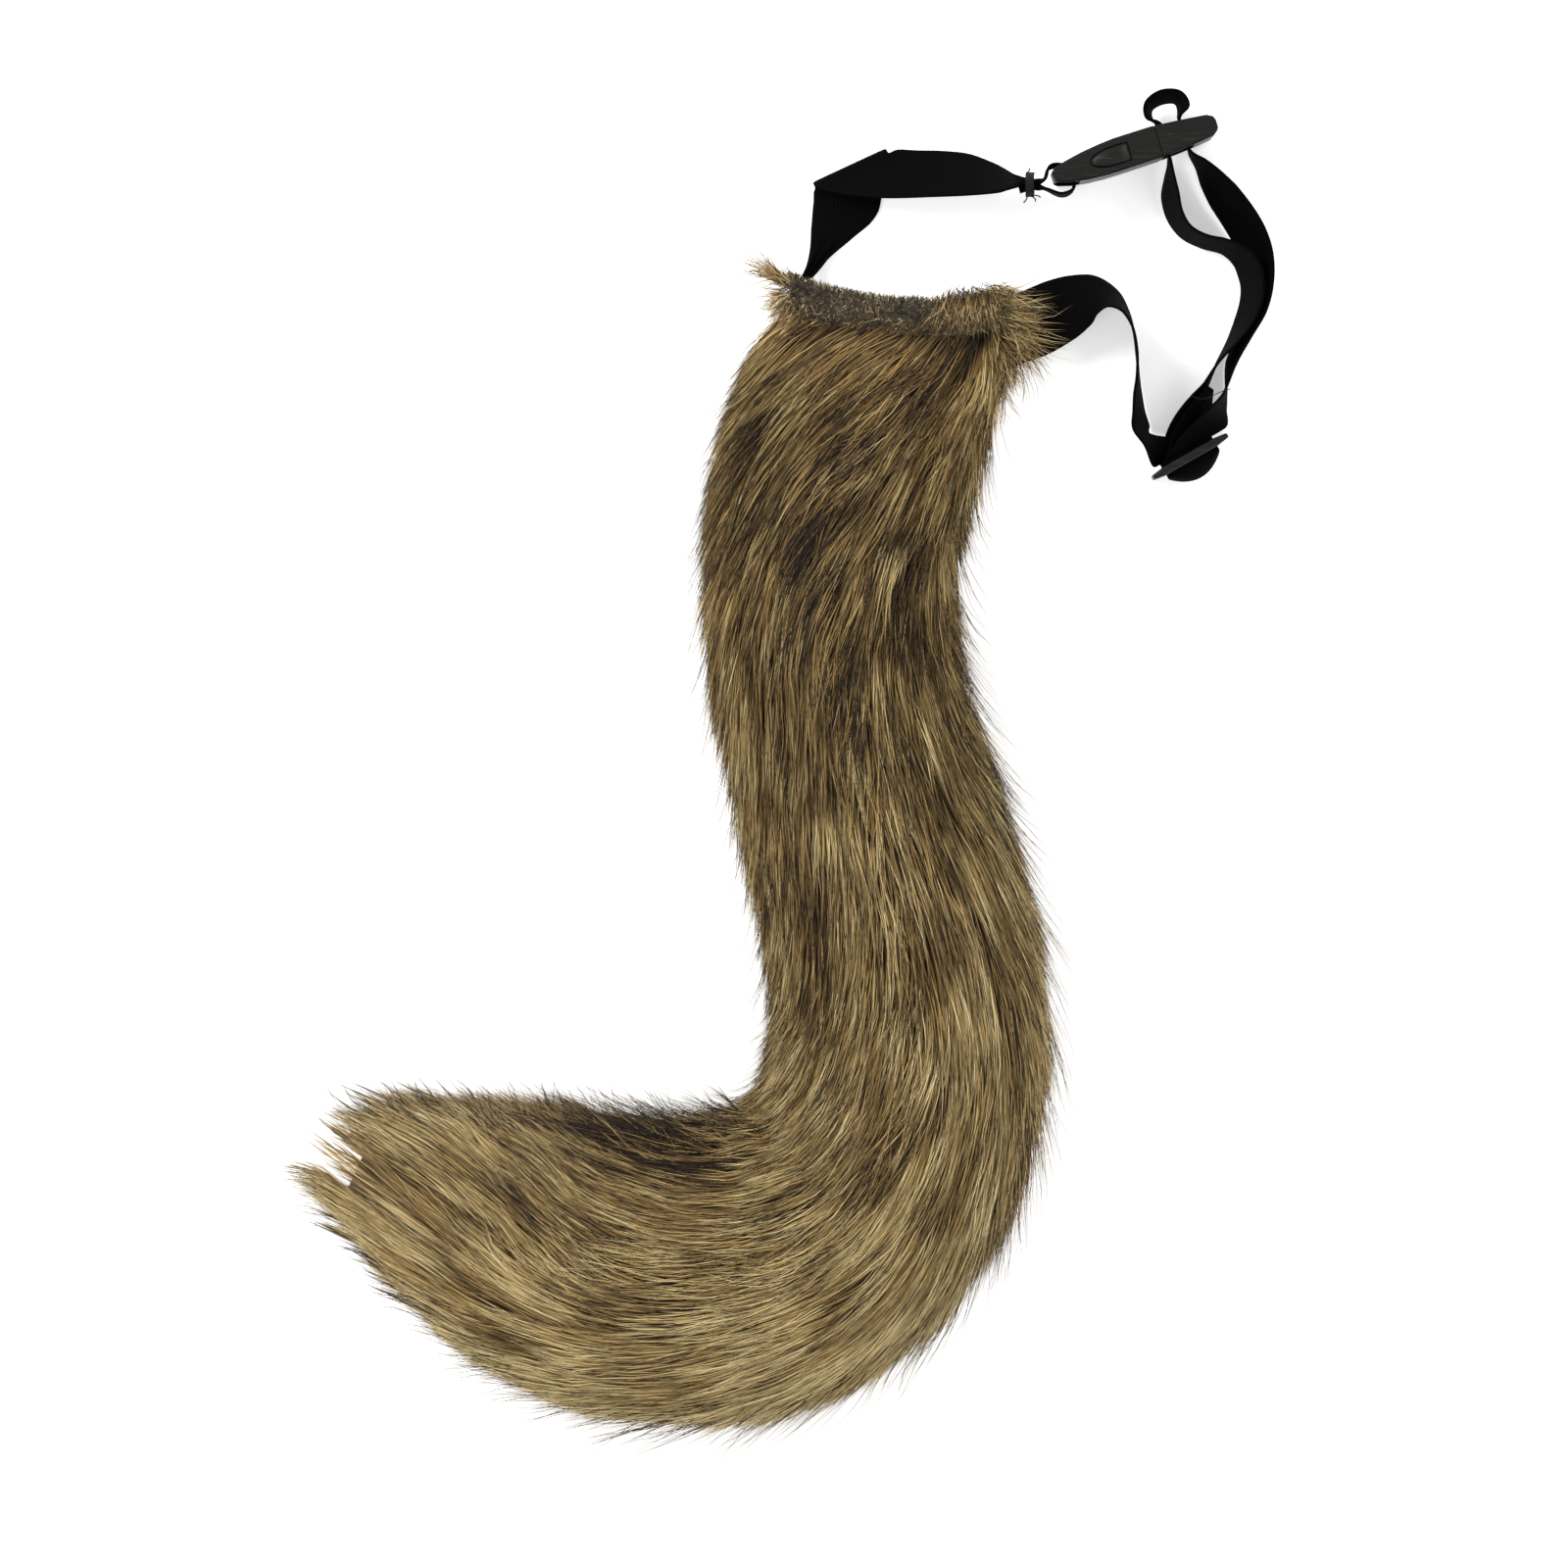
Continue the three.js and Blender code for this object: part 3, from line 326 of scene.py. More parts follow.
# %% Textures and surfaces of a finish
class Finish(Graph):
    """A material graph with calls for noise, arithmetic, ramps, mixes and the surface."""

    def noise(self, vector, scale, detail=3.0, rough=0.6):
        """Smooth noise read at a vector, with scale in features for each metre."""
        made = self.node("ShaderNodeTexNoise")
        made.inputs["Scale"].default_value = scale
        made.inputs["Detail"].default_value = detail
        made.inputs["Roughness"].default_value = rough
        self.link(vector, made.inputs["Vector"])
        return made.outputs["Fac"]

    def maths(self, operation, *values):
        """One Math node with its sockets filled in order."""
        made = self.node("ShaderNodeMath", operation=operation)
        for socket, value in zip(made.inputs, values):
            self.fill(socket, value)
        return made.outputs[0]

    def ramp(self, share, stops):
        """A colour ramp from (place, colour) rows."""
        made = self.node("ShaderNodeValToRGB")
        elements = made.color_ramp.elements
        elements[0].position, elements[0].color = stops[0][0], srgb(stops[0][1])
        elements[1].position, elements[1].color = stops[-1][0], srgb(stops[-1][1])
        for place, colour in stops[1:-1]:
            elements.new(place).color = srgb(colour)
        self.link(share, made.inputs["Fac"])
        return made.outputs["Color"]

    def mix(self, share, low, high, blend_type="MIX"):
        """low where share is 0, and high, or low blended with high, where it is 1."""
        made = self.node("ShaderNodeMix", data_type="RGBA", blend_type=blend_type)
        self.fill(made.inputs["Factor"], share)
        colour_sockets = [socket for socket in made.inputs if socket.type == "RGBA"]
        self.link(low, colour_sockets[0])
        self.link(high, colour_sockets[1])
        return [socket for socket in made.outputs if socket.type == "RGBA"][0]

    def colour(self, socket):
        self.link(socket, self.shader.inputs["Base Color"])

    def roughness(self, socket, low, high):
        """Roughness low where the socket is 0 and high where it is 1."""
        spread = self.node("ShaderNodeMapRange")
        spread.inputs["To Min"].default_value = low
        spread.inputs["To Max"].default_value = high
        self.link(socket, spread.inputs["Value"])
        self.link(spread.outputs["Result"], self.shader.inputs["Roughness"])

    def relief(self, height, depth, strength=1.0):
        """A bump whose full height is depth, in metres."""
        made = self.node("ShaderNodeBump")
        made.inputs["Strength"].default_value = strength
        made.inputs["Distance"].default_value = depth
        self.link(height, made.inputs["Height"])
        self.link(made.outputs["Normal"], self.shader.inputs["Normal"])


# %% [markdown]
# Pile fabric is dyed in bands. A hair is pale or brown for most of its length and many hairs end
# in a dark tip, and those tips make the speckled look. Each strand carries its own uv: u picks
# its shade from a ramp and v runs from root to tip. Below one half of u the hair keeps one shade
# to its tip, and above one half the same shades end in a dark tip. Towards its root every hair is
# darkened by painted shade, which stands for the shade deep in the fur.

# %% The finish of the long pile
long_pile = Finish("long_pile", 0.62, Specular_IOR_Level=0.2, Sheen_Weight=0.03)
shade_u, shade_v = long_pile.uv("OFBake")
has_dark_tip = long_pile.maths("GREATER_THAN", shade_u, 0.5)
shade = long_pile.maths("FRACT", long_pile.maths("MULTIPLY", shade_u, 2.0))
PILE_SHADES = [
    (0.0, "140f0b"), (0.16, "3a2c1b"), (0.34, "715935"), (0.52, "9f8250"), (0.7, "c4aa73"),
    (0.84, "e2cf9c"), (0.87, "a08048"), (1.0, "bc9a5c"),
]
# painted shade: every hair darkens towards its root, standing for the shade deep in the fur
ROOT_PAINTED_SHADE = [(0.0, "4a3a2a"), (0.28, "c8c0b4"), (0.5, "ffffff"), (1.0, "ffffff")]
TIP_SHADES = [(0.0, "241a13"), (1.0, "1d1612")]
TIP_START, TIP_FULL = 0.5, 0.8
body_shade = long_pile.ramp(shade, PILE_SHADES)
painted_root_shade = long_pile.ramp(shade_v, ROOT_PAINTED_SHADE)
shaded = long_pile.mix(1.0, body_shade, painted_root_shade, "MULTIPLY")
tip_share = long_pile.node("ShaderNodeMapRange", interpolation_type="SMOOTHSTEP")
tip_share.inputs["From Min"].default_value = TIP_START
tip_share.inputs["From Max"].default_value = TIP_FULL
long_pile.link(shade_v, tip_share.inputs["Value"])
tip_amount = long_pile.maths("MULTIPLY", tip_share.outputs["Result"], has_dark_tip)
tip_colour = long_pile.ramp(shade_v, TIP_SHADES)
long_pile.colour(long_pile.mix(tip_amount, shaded, tip_colour))
print("shades of the long pile:", len(PILE_SHADES))

# %% [markdown]
# The under-coat, the straps, the button and the threads are all tubes over rings of points, with
# a fan over each end. The sign of a mesh's volume tells whether its faces point outwards, and a
# mesh whose volume comes out negative is turned over.


# %% Closed tubes
def closed_tube(name, rings, sides, points, marks=None):
    """A skin over rings of points, closed by a fan to the middle of each end ring.

    Marks, where they are given, are one uv for each point."""
    middles = np.stack([points[:sides].mean(axis=0), points[-sides:].mean(axis=0)])
    round_ring = np.arange(sides)
    next_one = (round_ring + 1) % sides
    count = rings * sides
    quads = tube_faces(rings, sides)
    corner = np.full(sides, count)
    first_fan = np.stack([next_one, round_ring, corner], axis=1)
    last_fan = np.stack([count - sides + round_ring, count - sides + next_one, corner + 1], axis=1)
    triangles = np.vstack([quads[:, [0, 1, 2]], quads[:, [0, 2, 3]], first_fan, last_fan])
    uv = None
    if marks is not None:
        marks = np.vstack([marks, marks[:sides].mean(axis=0), marks[-sides:].mean(axis=0)])
        uv = marks[triangles].reshape(-1, 2)
    return mesh_from_faces(name, np.vstack([points, middles]), triangles, uv, "strip_mm")


def volume_of(mesh):
    """A sixth of the sum of a . (b x c) over the triangles: positive when they face out."""
    mesh.calc_loop_triangles()
    points = np.empty(len(mesh.vertices) * 3, np.float32)
    mesh.vertices.foreach_get("co", points)
    corners = np.empty(len(mesh.loop_triangles) * 3, np.int32)
    mesh.loop_triangles.foreach_get("vertices", corners)
    a, b, c = points.reshape(-1, 3)[corners.reshape(-1, 3)].transpose(1, 0, 2).astype(float)
    return float((a * np.cross(b, c)).sum() / 6)


def face_out(mesh):
    """Turns all faces over where the volume that they enclose comes out negative."""
    if volume_of(mesh) < 0:
        mesh.flip_normals()
    return mesh


# %% [markdown]
# Under the hair is the backing with its dense wool. It hardly shows, so it is one closed skin a
# little inside the solid tail, dark, rough and finely mottled. Its underside is lifted a little
# to leave room for the hairs that the tail lies on.

# %% The under-coat
under_coat = Finish("under_coat", 0.95, Sheen_Weight=0.25)
coat_spots = under_coat.noise(under_coat.place(), 420.0)
under_coat.colour(under_coat.ramp(coat_spots, [(0.3, "2a2016"), (0.5, "4b3a27"), (0.72, "74603f")]))
under_coat.relief(coat_spots, 1.2 * MM)
SKIN_END = 0.955
SKIN_INSET = 2.0 * MM
SKIN_LIFT = 1.6 * MM
SKIN_RIPPLE = 1.2 * MM
SKIN_SIDES = 72
skin_along = np.concatenate([np.linspace(0.004, 0.06, 12)[:-1], np.linspace(0.06, SKIN_END, 150)])
skin_turn = np.linspace(0, 2 * np.pi, SKIN_SIDES, endpoint=False)
grid_along, grid_turn = np.meshgrid(skin_along, skin_turn, indexing="ij")
ripple = lattice_noise(grid_along * 90, grid_turn * 5) - 0.5
skin_points = tail_point(grid_along, grid_turn, -SKIN_INSET + SKIN_RIPPLE * ripple)
skin_points[..., 2] = np.maximum(skin_points[..., 2] - SKIN_INSET, SKIN_LIFT)
skin_points = skin_points.reshape(-1, 3)
skin_mesh = face_out(closed_tube("under_coat_skin", len(skin_along), SKIN_SIDES, skin_points))
skin = put_object("under_coat_skin", skin_mesh, under_coat.material)
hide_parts("fur_tail")
print("under-coat faces:", len(skin_mesh.polygons))
print("its volume in litres:", round(volume_of(skin_mesh) * 1000, 2))

# %% [markdown]
# A strand is a thin three-sided spindle with a root ring, two rings on the way and one point at
# its tip, which is sixteen triangles. The rings stand square to the strand. They widen a little
# from the root and narrow again towards the tip, as a real hair does. All strands of a piece are
# worked out together as one array.


# %% Strands from their paths
SHADE_SPREAD = 0.004


def unit(vectors):
    """Each vector divided by its own length."""
    return vectors / np.maximum(np.linalg.norm(vectors, axis=-1, keepdims=True), 1e-9)


def strand_mesh(name, paths, outs, widths, shades, taper=(0.75, 1.0, 0.7)):
    """Rings of middle +- side * 0.5 w - up * 0.2 w, and middle + up * 0.4 w, w being the width.

    A path has a point for each ring and one for the tip."""
    count, rings = len(paths), paths.shape[1] - 1
    tangents = unit(np.gradient(paths, axis=1))
    sides = unit(np.cross(tangents, outs[:, None, :]))
    lifts = unit(np.cross(sides, tangents))
    wide = (widths[:, None] * np.array(taper))[..., None]
    middles = paths[:, :rings]
    corners = np.stack([
        middles + sides[:, :rings] * wide * 0.5 - lifts[:, :rings] * wide * 0.2,
        middles + lifts[:, :rings] * wide * 0.4,
        middles - sides[:, :rings] * wide * 0.5 - lifts[:, :rings] * wide * 0.2,
    ], axis=2)
    points = np.concatenate([corners.reshape(count, rings * 3, 3), paths[:, rings:]], axis=1)
    quads = tube_faces(rings, 3)
    top = rings * 3
    last = top - 3
    point_fan = np.array([[last, last + 1, top], [last + 1, last + 2, top], [last + 2, last, top]])
    pattern = np.vstack([quads[:, [0, 1, 2]], quads[:, [0, 2, 3]], point_fan, [[2, 1, 0]]])
    faces = (np.arange(count)[:, None, None] * (top + 1) + pattern).reshape(-1, 3)
    along = np.append(np.repeat(np.linspace(0, 1, rings + 1)[:rings], 3), 1.0)
    round_it = np.append(np.tile([0.0, SHADE_SPREAD, 0.0], rings), 0.0)
    corner_v = np.broadcast_to(along[pattern], (count, *pattern.shape))
    corner_u = shades[:, None, None] + round_it[pattern]
    uv = np.stack([corner_u, corner_v], axis=-1).reshape(-1, 2)
    return face_out(mesh_from_faces(name, points.reshape(-1, 3), faces, uv))


# %% [markdown]
# Real pile falls in locks: hairs that start within a few millimetres of each other lean together
# and meet near their tips. So the fur is grown in two steps. First come the locks, each with its
# place, direction, length, lift and shade. Then each lock gets its hairs, which start round its
# root and close in on its line. The lie of the fur changes along the tail: it falls to one side
# below the hem, runs straight down the stem, turns with the bend, and stands out from the arm's
# upper edge.


# %% The lie of the fur
def lie_angle(along, turn):
    """Angle of a lock from the tail's direction, in radians, positive towards its left edge.

    A sum of smooth steps, 0.34 below the hem, up to 0.66 on the arm's upper edge and -0.12 on its
    lower edge, and of a swirl of lattice noise."""
    below_hem = 0.34 * (1 - smooth_step(0.1, 0.34, along))
    on_arm = smooth_step(0.68, 0.82, along)
    upper_edge = on_arm * (0.26 * smooth_step(0.8, 1.5, turn) + 0.4 * smooth_step(1.4, 2.5, turn))
    lower_edge = on_arm * -0.12 * (1 - smooth_step(0.2, 1.2, turn))
    swirl = 0.22 * (lattice_noise(along * 14 + 5, turn * 1.6 + 3) - 0.5)
    return below_hem + upper_edge + lower_edge + swirl


# %% [markdown]
# A hair's path is read at four stations from root to tip. It starts a little below the surface
# and rises off it as it goes. On the outside of the bend a share of the tail's length covers more
# ground than on the inside, so the steps along are divided by that stretch and every hair keeps
# its length.

# %% Paths of strands over the tail
STATIONS = np.array([0.0, 0.33, 0.68, 1.0])
EDGE_STAND = 0.4
ROOT_DEPTH = 2.0 * MM
RISE_POWER = 1.3
HOLD_WIDTH, HOLD_THICK = 0.38, 0.5
STRETCH_LOW, STRETCH_HIGH = 0.35, 2.5
OFF_FLOOR = 0.45 * MM


def line_bend(along):
    """Change of the middle line's heading for each metre, in radians."""
    step = 0.01
    change = np.radians(read_column(HEADING, along + step) - read_column(HEADING, along - step))
    return change / (2 * step * TAIL_LENGTH)


def strand_path(along, turn, angle, length, lift, curl):
    """Places along + cos(angle) s and turn + sin(angle) s, lifted off the surface by s^1.3.

    Where a hair would turn over the tail's edge, part of that turn becomes height off it."""
    s = STATIONS[None, :]
    radius = 0.5 * (half_width(along) + whole_thick(along))
    across = half_width(along) * np.cos(turn)
    stretch = 1 / np.clip(1 - line_bend(along) * across, STRETCH_LOW, STRETCH_HIGH)
    forward = np.cos(angle) * length / TAIL_LENGTH * stretch
    sideways = np.sin(angle) * length / radius
    places = along[:, None] + forward[:, None] * s
    turns = turn[:, None] + sideways[:, None] * (s + curl[:, None] * s * s)
    rises = -ROOT_DEPTH + (lift[:, None] + ROOT_DEPTH) * s ** RISE_POWER
    hold_half = HOLD_WIDTH * half_width(along)[:, None]
    hold_thick = HOLD_THICK * whole_thick(along)[:, None]
    over_edge = (np.maximum(turns - np.maximum(turn, np.pi)[:, None], 0)
                 - np.maximum(np.minimum(turn, 0.0)[:, None] - turns, 0))
    stand = EDGE_STAND * (0.3 + 0.7 * smooth_step(0.55, 0.72, along))
    standing = over_edge * stand[:, None]
    turns, rises = turns - standing, rises + np.abs(standing) * radius[:, None]
    points = tail_point(places, turns, rises, hold_half, hold_thick)
    points[..., 2] = np.maximum(points[..., 2], OFF_FLOOR)
    return points


# %% [markdown]
# The shade of a lock comes from three things: the region, because the arm is paler than the stem,
# with painted light that makes the tail's edges paler and painted shade that darkens the inner
# corner of the bend, and blotches stretched along the lie of the fur.
# Chance makes neighbours differ. Blotches that are dark also have more dark tips.


# %% The shade of each place
SHADE_PLACES = [0.0, 0.06, 0.15, 0.35, 0.5, 0.65, 0.8, 0.95]
SHADE_THERE = [0.47, 0.36, 0.36, 0.5, 0.61, 0.66, 0.54, 0.6]
DARKEST, PALEST = 0.02, 0.83
TONE_CHANCE = 0.17
GOLDEN_SHARE = 0.06


def region_shade(along, turn):
    """Shade from 0, dark, to 1, pale, before blotches and chance, with painted light and shade in
    it.

    The table's shade along the tail + steps of painted light at its edges - bells of painted shade
    round the bend's inner corner."""
    shade = np.interp(along, SHADE_PLACES, SHADE_THERE)
    # painted shade: darkens the bend's inner corner, where the fur folds into shade
    corner = np.exp(-((along - 0.66) / 0.07) ** 2) * smooth_step(1.9, 2.7, turn)
    wider_painted_corner_shade = np.exp(-((along - 0.64) / 0.08) ** 2) * smooth_step(1.1, 2.1, turn)
    # painted light: the arm's lower edge and both edges of the tail are made paler, as if lit from
    # the pale floor
    lower_edge = smooth_step(0.55, 0.7, along) * (1 - smooth_step(0.5, 1.6, turn))
    edge = smooth_step(0.6, 0.97, np.abs(np.cos(turn)))
    return shade + 0.12 * edge + 0.14 * lower_edge - 0.7 * corner - 0.16 * wider_painted_corner_shade


def blotches(along, turn):
    """0.45 of large and 0.55 of small lattice noise, both stretched along the tail, less 0.5."""
    large = lattice_noise(along * 24 + 53, turn * 3.8 + 61)
    small = lattice_noise(along * 44 + 31, turn * 10 + 9)
    return 0.45 * large + 0.55 * small - 0.5


# %% [markdown]
# Roots are spread by chance, more of them where the tail is wide. A lock gives its hairs one
# angle, length, lift and curl, and each hair changes them a little. To draw a lock together, each
# hair is worked out twice, from its own root and from the lock's, and mixed more towards the
# lock's line the nearer it comes to its tip.


# %% Locks and the hairs in them
LOCKS = 3850
HAIRS_IN_LOCK = 11
LOCK_LENGTH, LOCK_LIFT = 43 * MM, 5.5 * MM
LOCK_SPREAD = 5.0 * MM
LOCK_CLOSING = 0.58
LOCK_SWAY = 0.05


def grow_roots(count, low_turn, high_turn, low_along=0.012, high_along=0.93):
    """Roots spread by chance, kept by 0.25 + 0.75 of the width's share, as along and turn."""
    along = low_along + (high_along - low_along) * chance.random(count * 2)
    keep = chance.random(count * 2) < 0.25 + 0.75 * half_width(along) / half_width(along).max()
    along = along[keep][:count]
    turn = low_turn + (high_turn - low_turn) * chance.random(len(along))
    return along, turn


def hairs_of(root_along, root_turn):
    """Hairs rooted within LOCK_SPREAD of each root: own * (1 - c s^1.4) + lock's line * c s^1.4.

    c is LOCK_CLOSING, and less near the tail's end."""
    count = len(root_along)
    lock = np.repeat(np.arange(count), HAIRS_IN_LOCK)
    total = len(lock)
    lock_angle = lie_angle(root_along, root_turn) + chance.normal(0, LOCK_SWAY, count)
    shorter_end = 1 - 0.1 * smooth_step(0.84, 0.93, root_along)
    lock_length = LOCK_LENGTH * shorter_end * (0.8 + 0.45 * chance.random(count))
    lock_lift = LOCK_LIFT * (0.25 + 1.1 * chance.random(count))
    lock_curl = chance.normal(0, 0.12, count)
    angle = lock_angle[lock] + chance.normal(0, 0.035, total)
    long = lock_length[lock] * (0.75 + 0.4 * chance.random(total))
    high = lock_lift[lock] * (0.7 + 0.6 * chance.random(total)) + 0.8 * MM
    along, turn = root_along[lock], root_turn[lock]
    radius = 0.5 * (half_width(along) + whole_thick(along))
    away = LOCK_SPREAD * np.sqrt(chance.random(total))
    way = 2 * np.pi * chance.random(total)
    off_along = 1.6 * away * np.cos(way) / TAIL_LENGTH
    off_turn = away * np.sin(way) / radius
    middle = strand_path(along, turn, angle, long, high, lock_curl[lock])
    start_along = np.clip(along + off_along, 0.004, 0.945)
    own = strand_path(start_along, turn + off_turn, angle, long, high, lock_curl[lock])
    drawn_in = LOCK_CLOSING * (1 - 0.6 * smooth_step(0.8, 0.92, along))
    pull = (drawn_in[:, None] * STATIONS ** 1.4)[..., None]
    paths = own * (1 - pull) + middle * pull
    return lock, paths, along, turn + off_turn


def outward(along, turn):
    """The direction off the surface, from two places one above the other."""
    above = tail_point(along, turn, 2 * MM)
    return unit(above - tail_point(along, turn) + np.array([0, 0, 1e-5]))


def shade_u_of(tone, dark_tip):
    """u of a strand: half its shade, and half more where it ends in a dark tip."""
    return 0.003 + 0.49 * np.clip(tone, 0, 0.98) + np.where(dark_tip, 0.5, 0.0)


# %% [markdown]
# The locks cover the tail from a little below its widest place on one side, over the top, to the
# same place on the other. A lock's tone is the shade of its place, a blotch and some chance, and
# each hair differs a little from its lock. A few hairs are golden.

# %% The locks on top
lock_along, lock_turn = grow_roots(LOCKS, math.radians(-20), math.radians(200))
lock_tone = (region_shade(lock_along, lock_turn) + 0.7 * blotches(lock_along, lock_turn)
             + chance.normal(0, 0.08, len(lock_along)))
lock_dark = 1 - smooth_step(0.2, 0.55, lock_tone)
lock, paths, along, turn = hairs_of(lock_along, lock_turn)
tone = lock_tone[lock] + chance.normal(0, TONE_CHANCE, len(lock))
golden = chance.random(len(lock)) < GOLDEN_SHARE
tone = np.where(golden, 0.88 + 0.1 * chance.random(len(lock)), np.clip(tone, DARKEST, PALEST))
dark_tip = chance.random(len(lock)) < 0.24 + 0.45 * lock_dark[lock]
widths = (0.38 + 0.27 * chance.random(len(lock))) * MM
print("hairs on top:", len(lock))

# %% [markdown]
# One mesh for all the hair on top would be too large to hand on, so the hairs are sorted by their
# place along the tail and shared out among four meshes.

# %% Top fur in pieces along the tail
FUR_PIECES = 4
order = np.argsort(lock_along[lock], kind="stable")
for number, share in enumerate(np.array_split(order, FUR_PIECES), 1):
    mesh = strand_mesh(f"long_pile_{number}", paths[share], outward(along[share], turn[share]),
                       widths[share], shade_u_of(tone[share], dark_tip[share]))
    put_object(f"long_pile_{number}", mesh, long_pile.material)
    print(mesh.name, "triangles:", len(mesh.polygons))

# %% [markdown]
# Some hairs don't lie with the rest. Stiff dark guard hairs stand out all round the outline, and
# on the upper edge of the arm they stand up in a ragged comb. They are longer, thinner and lifted
# more, and they bend away from the surface, so they are grown one by one instead of in locks.


# %% Stray guard hairs
def stray_hairs(count, low_turn, high_turn, low_along, high_along, length, lift, outward_lean):
    """Single hairs: paths and roots, with angle = 0.6 of the fur's lie + a lean to the outline."""
    along, turn = grow_roots(count, low_turn, high_turn, low_along, high_along)
    number = len(along)
    lean = np.where(turn > np.pi / 2, 1.0, -1.0) * outward_lean * chance.random(number)
    angle = lie_angle(along, turn) * 0.6 + lean + chance.normal(0, 0.1, number)
    long = length * (0.7 + 0.6 * chance.random(number))
    high = lift * (0.3 + 1.0 * chance.random(number) ** 1.5)
    return strand_path(along, turn, angle, long, high, chance.normal(0, 0.3, number)), along, turn


# count, turn from and to, along from and to, length, lift, lean
stray_sets = [
    stray_hairs(700, -0.35, 0.6, 0.03, 0.55, 46 * MM, 16 * MM, 0.25),
    stray_hairs(700, -0.3, 0.6, 0.5, 0.93, 46 * MM, 16 * MM, 0.4),
    stray_hairs(600, 2.5, 3.5, 0.03, 0.6, 46 * MM, 14 * MM, 0.25),
    stray_hairs(1100, 2.3, 3.3, 0.58, 0.95, 38 * MM, 15 * MM, 0.7),
    stray_hairs(400, 0.3, 2.8, 0.03, 0.93, 40 * MM, 9 * MM, 0.15),
]
stray_paths, stray_along, stray_turn = (np.concatenate(part) for part in zip(*stray_sets))
stray_count = len(stray_paths)
stray_widths = (0.26 + 0.2 * chance.random(stray_count)) * MM
is_dark = chance.random(stray_count) < 0.72
stray_tone = np.where(is_dark, 0.04 + 0.12 * chance.random(stray_count), 0.6)
stray_mesh = strand_mesh("guard_hairs", stray_paths, outward(stray_along, stray_turn), stray_widths,
                         shade_u_of(stray_tone, chance.random(stray_count) < 0.4))
put_object("guard_hairs", stray_mesh, long_pile.material)
print("guard hairs:", stray_count)

# %% [markdown]
# Low on its sides the tail curves in under itself. From above that part is hidden, but it shows
# from the side, so a row of coarser hair covers it from the widest height down to the floor.

# %% Hair low on the sides
SIDE_HAIRS = 2200
SIDE_OFF_FLOOR = 0.8 * MM
side_along = 0.02 + 0.91 * chance.random(SIDE_HAIRS)
side_turn = -0.85 + 0.65 * chance.random(SIDE_HAIRS)
side_turn[SIDE_HAIRS // 2:] = np.pi - side_turn[SIDE_HAIRS // 2:]
side_lean = chance.normal(0, 0.1, SIDE_HAIRS)
side_length = (34 + 14 * chance.random(SIDE_HAIRS)) * MM
side_lift = (1 + 3 * chance.random(SIDE_HAIRS)) * MM
side_curl = chance.normal(0, 0.2, SIDE_HAIRS)
side_paths = strand_path(side_along, side_turn, side_lean, side_length, side_lift, side_curl)
side_paths[..., 2] = np.maximum(side_paths[..., 2], SIDE_OFF_FLOOR)
side_tone = (region_shade(side_along, side_turn) + 0.75 * blotches(side_along, side_turn)
             + chance.normal(0, TONE_CHANCE, SIDE_HAIRS))
side_widths = (0.9 + 0.5 * chance.random(SIDE_HAIRS)) * MM
side_dark = chance.random(SIDE_HAIRS) < 0.4
side_mesh = strand_mesh("side_pile", side_paths, outward(side_along, side_turn), side_widths,
                        shade_u_of(np.clip(side_tone, DARKEST, PALEST), side_dark))
put_object("side_pile", side_mesh, long_pile.material)
print("hairs low on the sides:", SIDE_HAIRS)

# %% [markdown]
# The tail lies on its pile, so the hairs underneath are pressed flat. They only show when the
# part is turned over, and fewer, wider hairs do for them. They keep between the floor and the
# under-coat.

# %% Flat hairs underneath
FLAT_HAIRS = 2300
flat_along = 0.02 + 0.9 * chance.random(FLAT_HAIRS)
flat_across = (2 * chance.random(FLAT_HAIRS) - 1) * half_width(flat_along) * 0.94
flat_lean = 0.25 * (lattice_noise(flat_along * 30, flat_across / TAIL_WIDTH * 6 + 40) - 0.5)
flat_length = (34 + 14 * chance.random(FLAT_HAIRS)) * MM
flat_at = flat_along[:, None] + (np.cos(flat_lean) * flat_length / TAIL_LENGTH)[:, None] * STATIONS
flat_side = flat_across[:, None] + (np.sin(flat_lean) * flat_length)[:, None] * STATIONS
flat_step = np.clip(flat_at, 0, 1) * LINE_STEPS
flat_row = np.minimum(flat_step.astype(int), LINE_STEPS - 1)
flat_share = (flat_step - flat_row)[..., None]
flat_paths = TAIL_LINE[flat_row] * (1 - flat_share) + TAIL_LINE[flat_row + 1] * flat_share
flat_paths = flat_paths + heading_vector(read_column(HEADING, flat_at) + 90) * flat_side[..., None]
flat_paths[..., 2] = SKIN_LIFT - (0.2 + 1.0 * STATIONS + 0.2 * chance.random((FLAT_HAIRS, 1))) * MM
flat_out = np.tile([0.0, 0.0, -1.0], (FLAT_HAIRS, 1))
flat_patch = lattice_noise(flat_along * 26 + 3, flat_across / TAIL_WIDTH * 7 + 20)
flat_tone = 0.42 + 0.7 * (flat_patch - 0.5) + chance.normal(0, 0.1, FLAT_HAIRS)
flat_widths = (0.8 + 0.5 * chance.random(FLAT_HAIRS)) * MM
flat_dark = chance.random(FLAT_HAIRS) < 0.3
flat_mesh = strand_mesh("flat_pile_underneath", flat_paths, flat_out, flat_widths,
                        shade_u_of(np.clip(flat_tone, DARKEST, PALEST), flat_dark))
put_object("flat_pile_underneath", flat_mesh, long_pile.material)
print("flat hairs underneath:", FLAT_HAIRS)

# %% [markdown]
# The band at the tail's top edge is a strip of short curly pile folded over the cut edge. The
# solid band has the right shape for its backing, so a merged copy of it stands for it, and curls
# of short pile grow out of its front face and over its top. A curl is a strand whose path is a
# piece of a small spiral.


# %% The backing of the band
SAME_PLACE = 0.002 * MM
SAME_PLANE = math.radians(0.5)


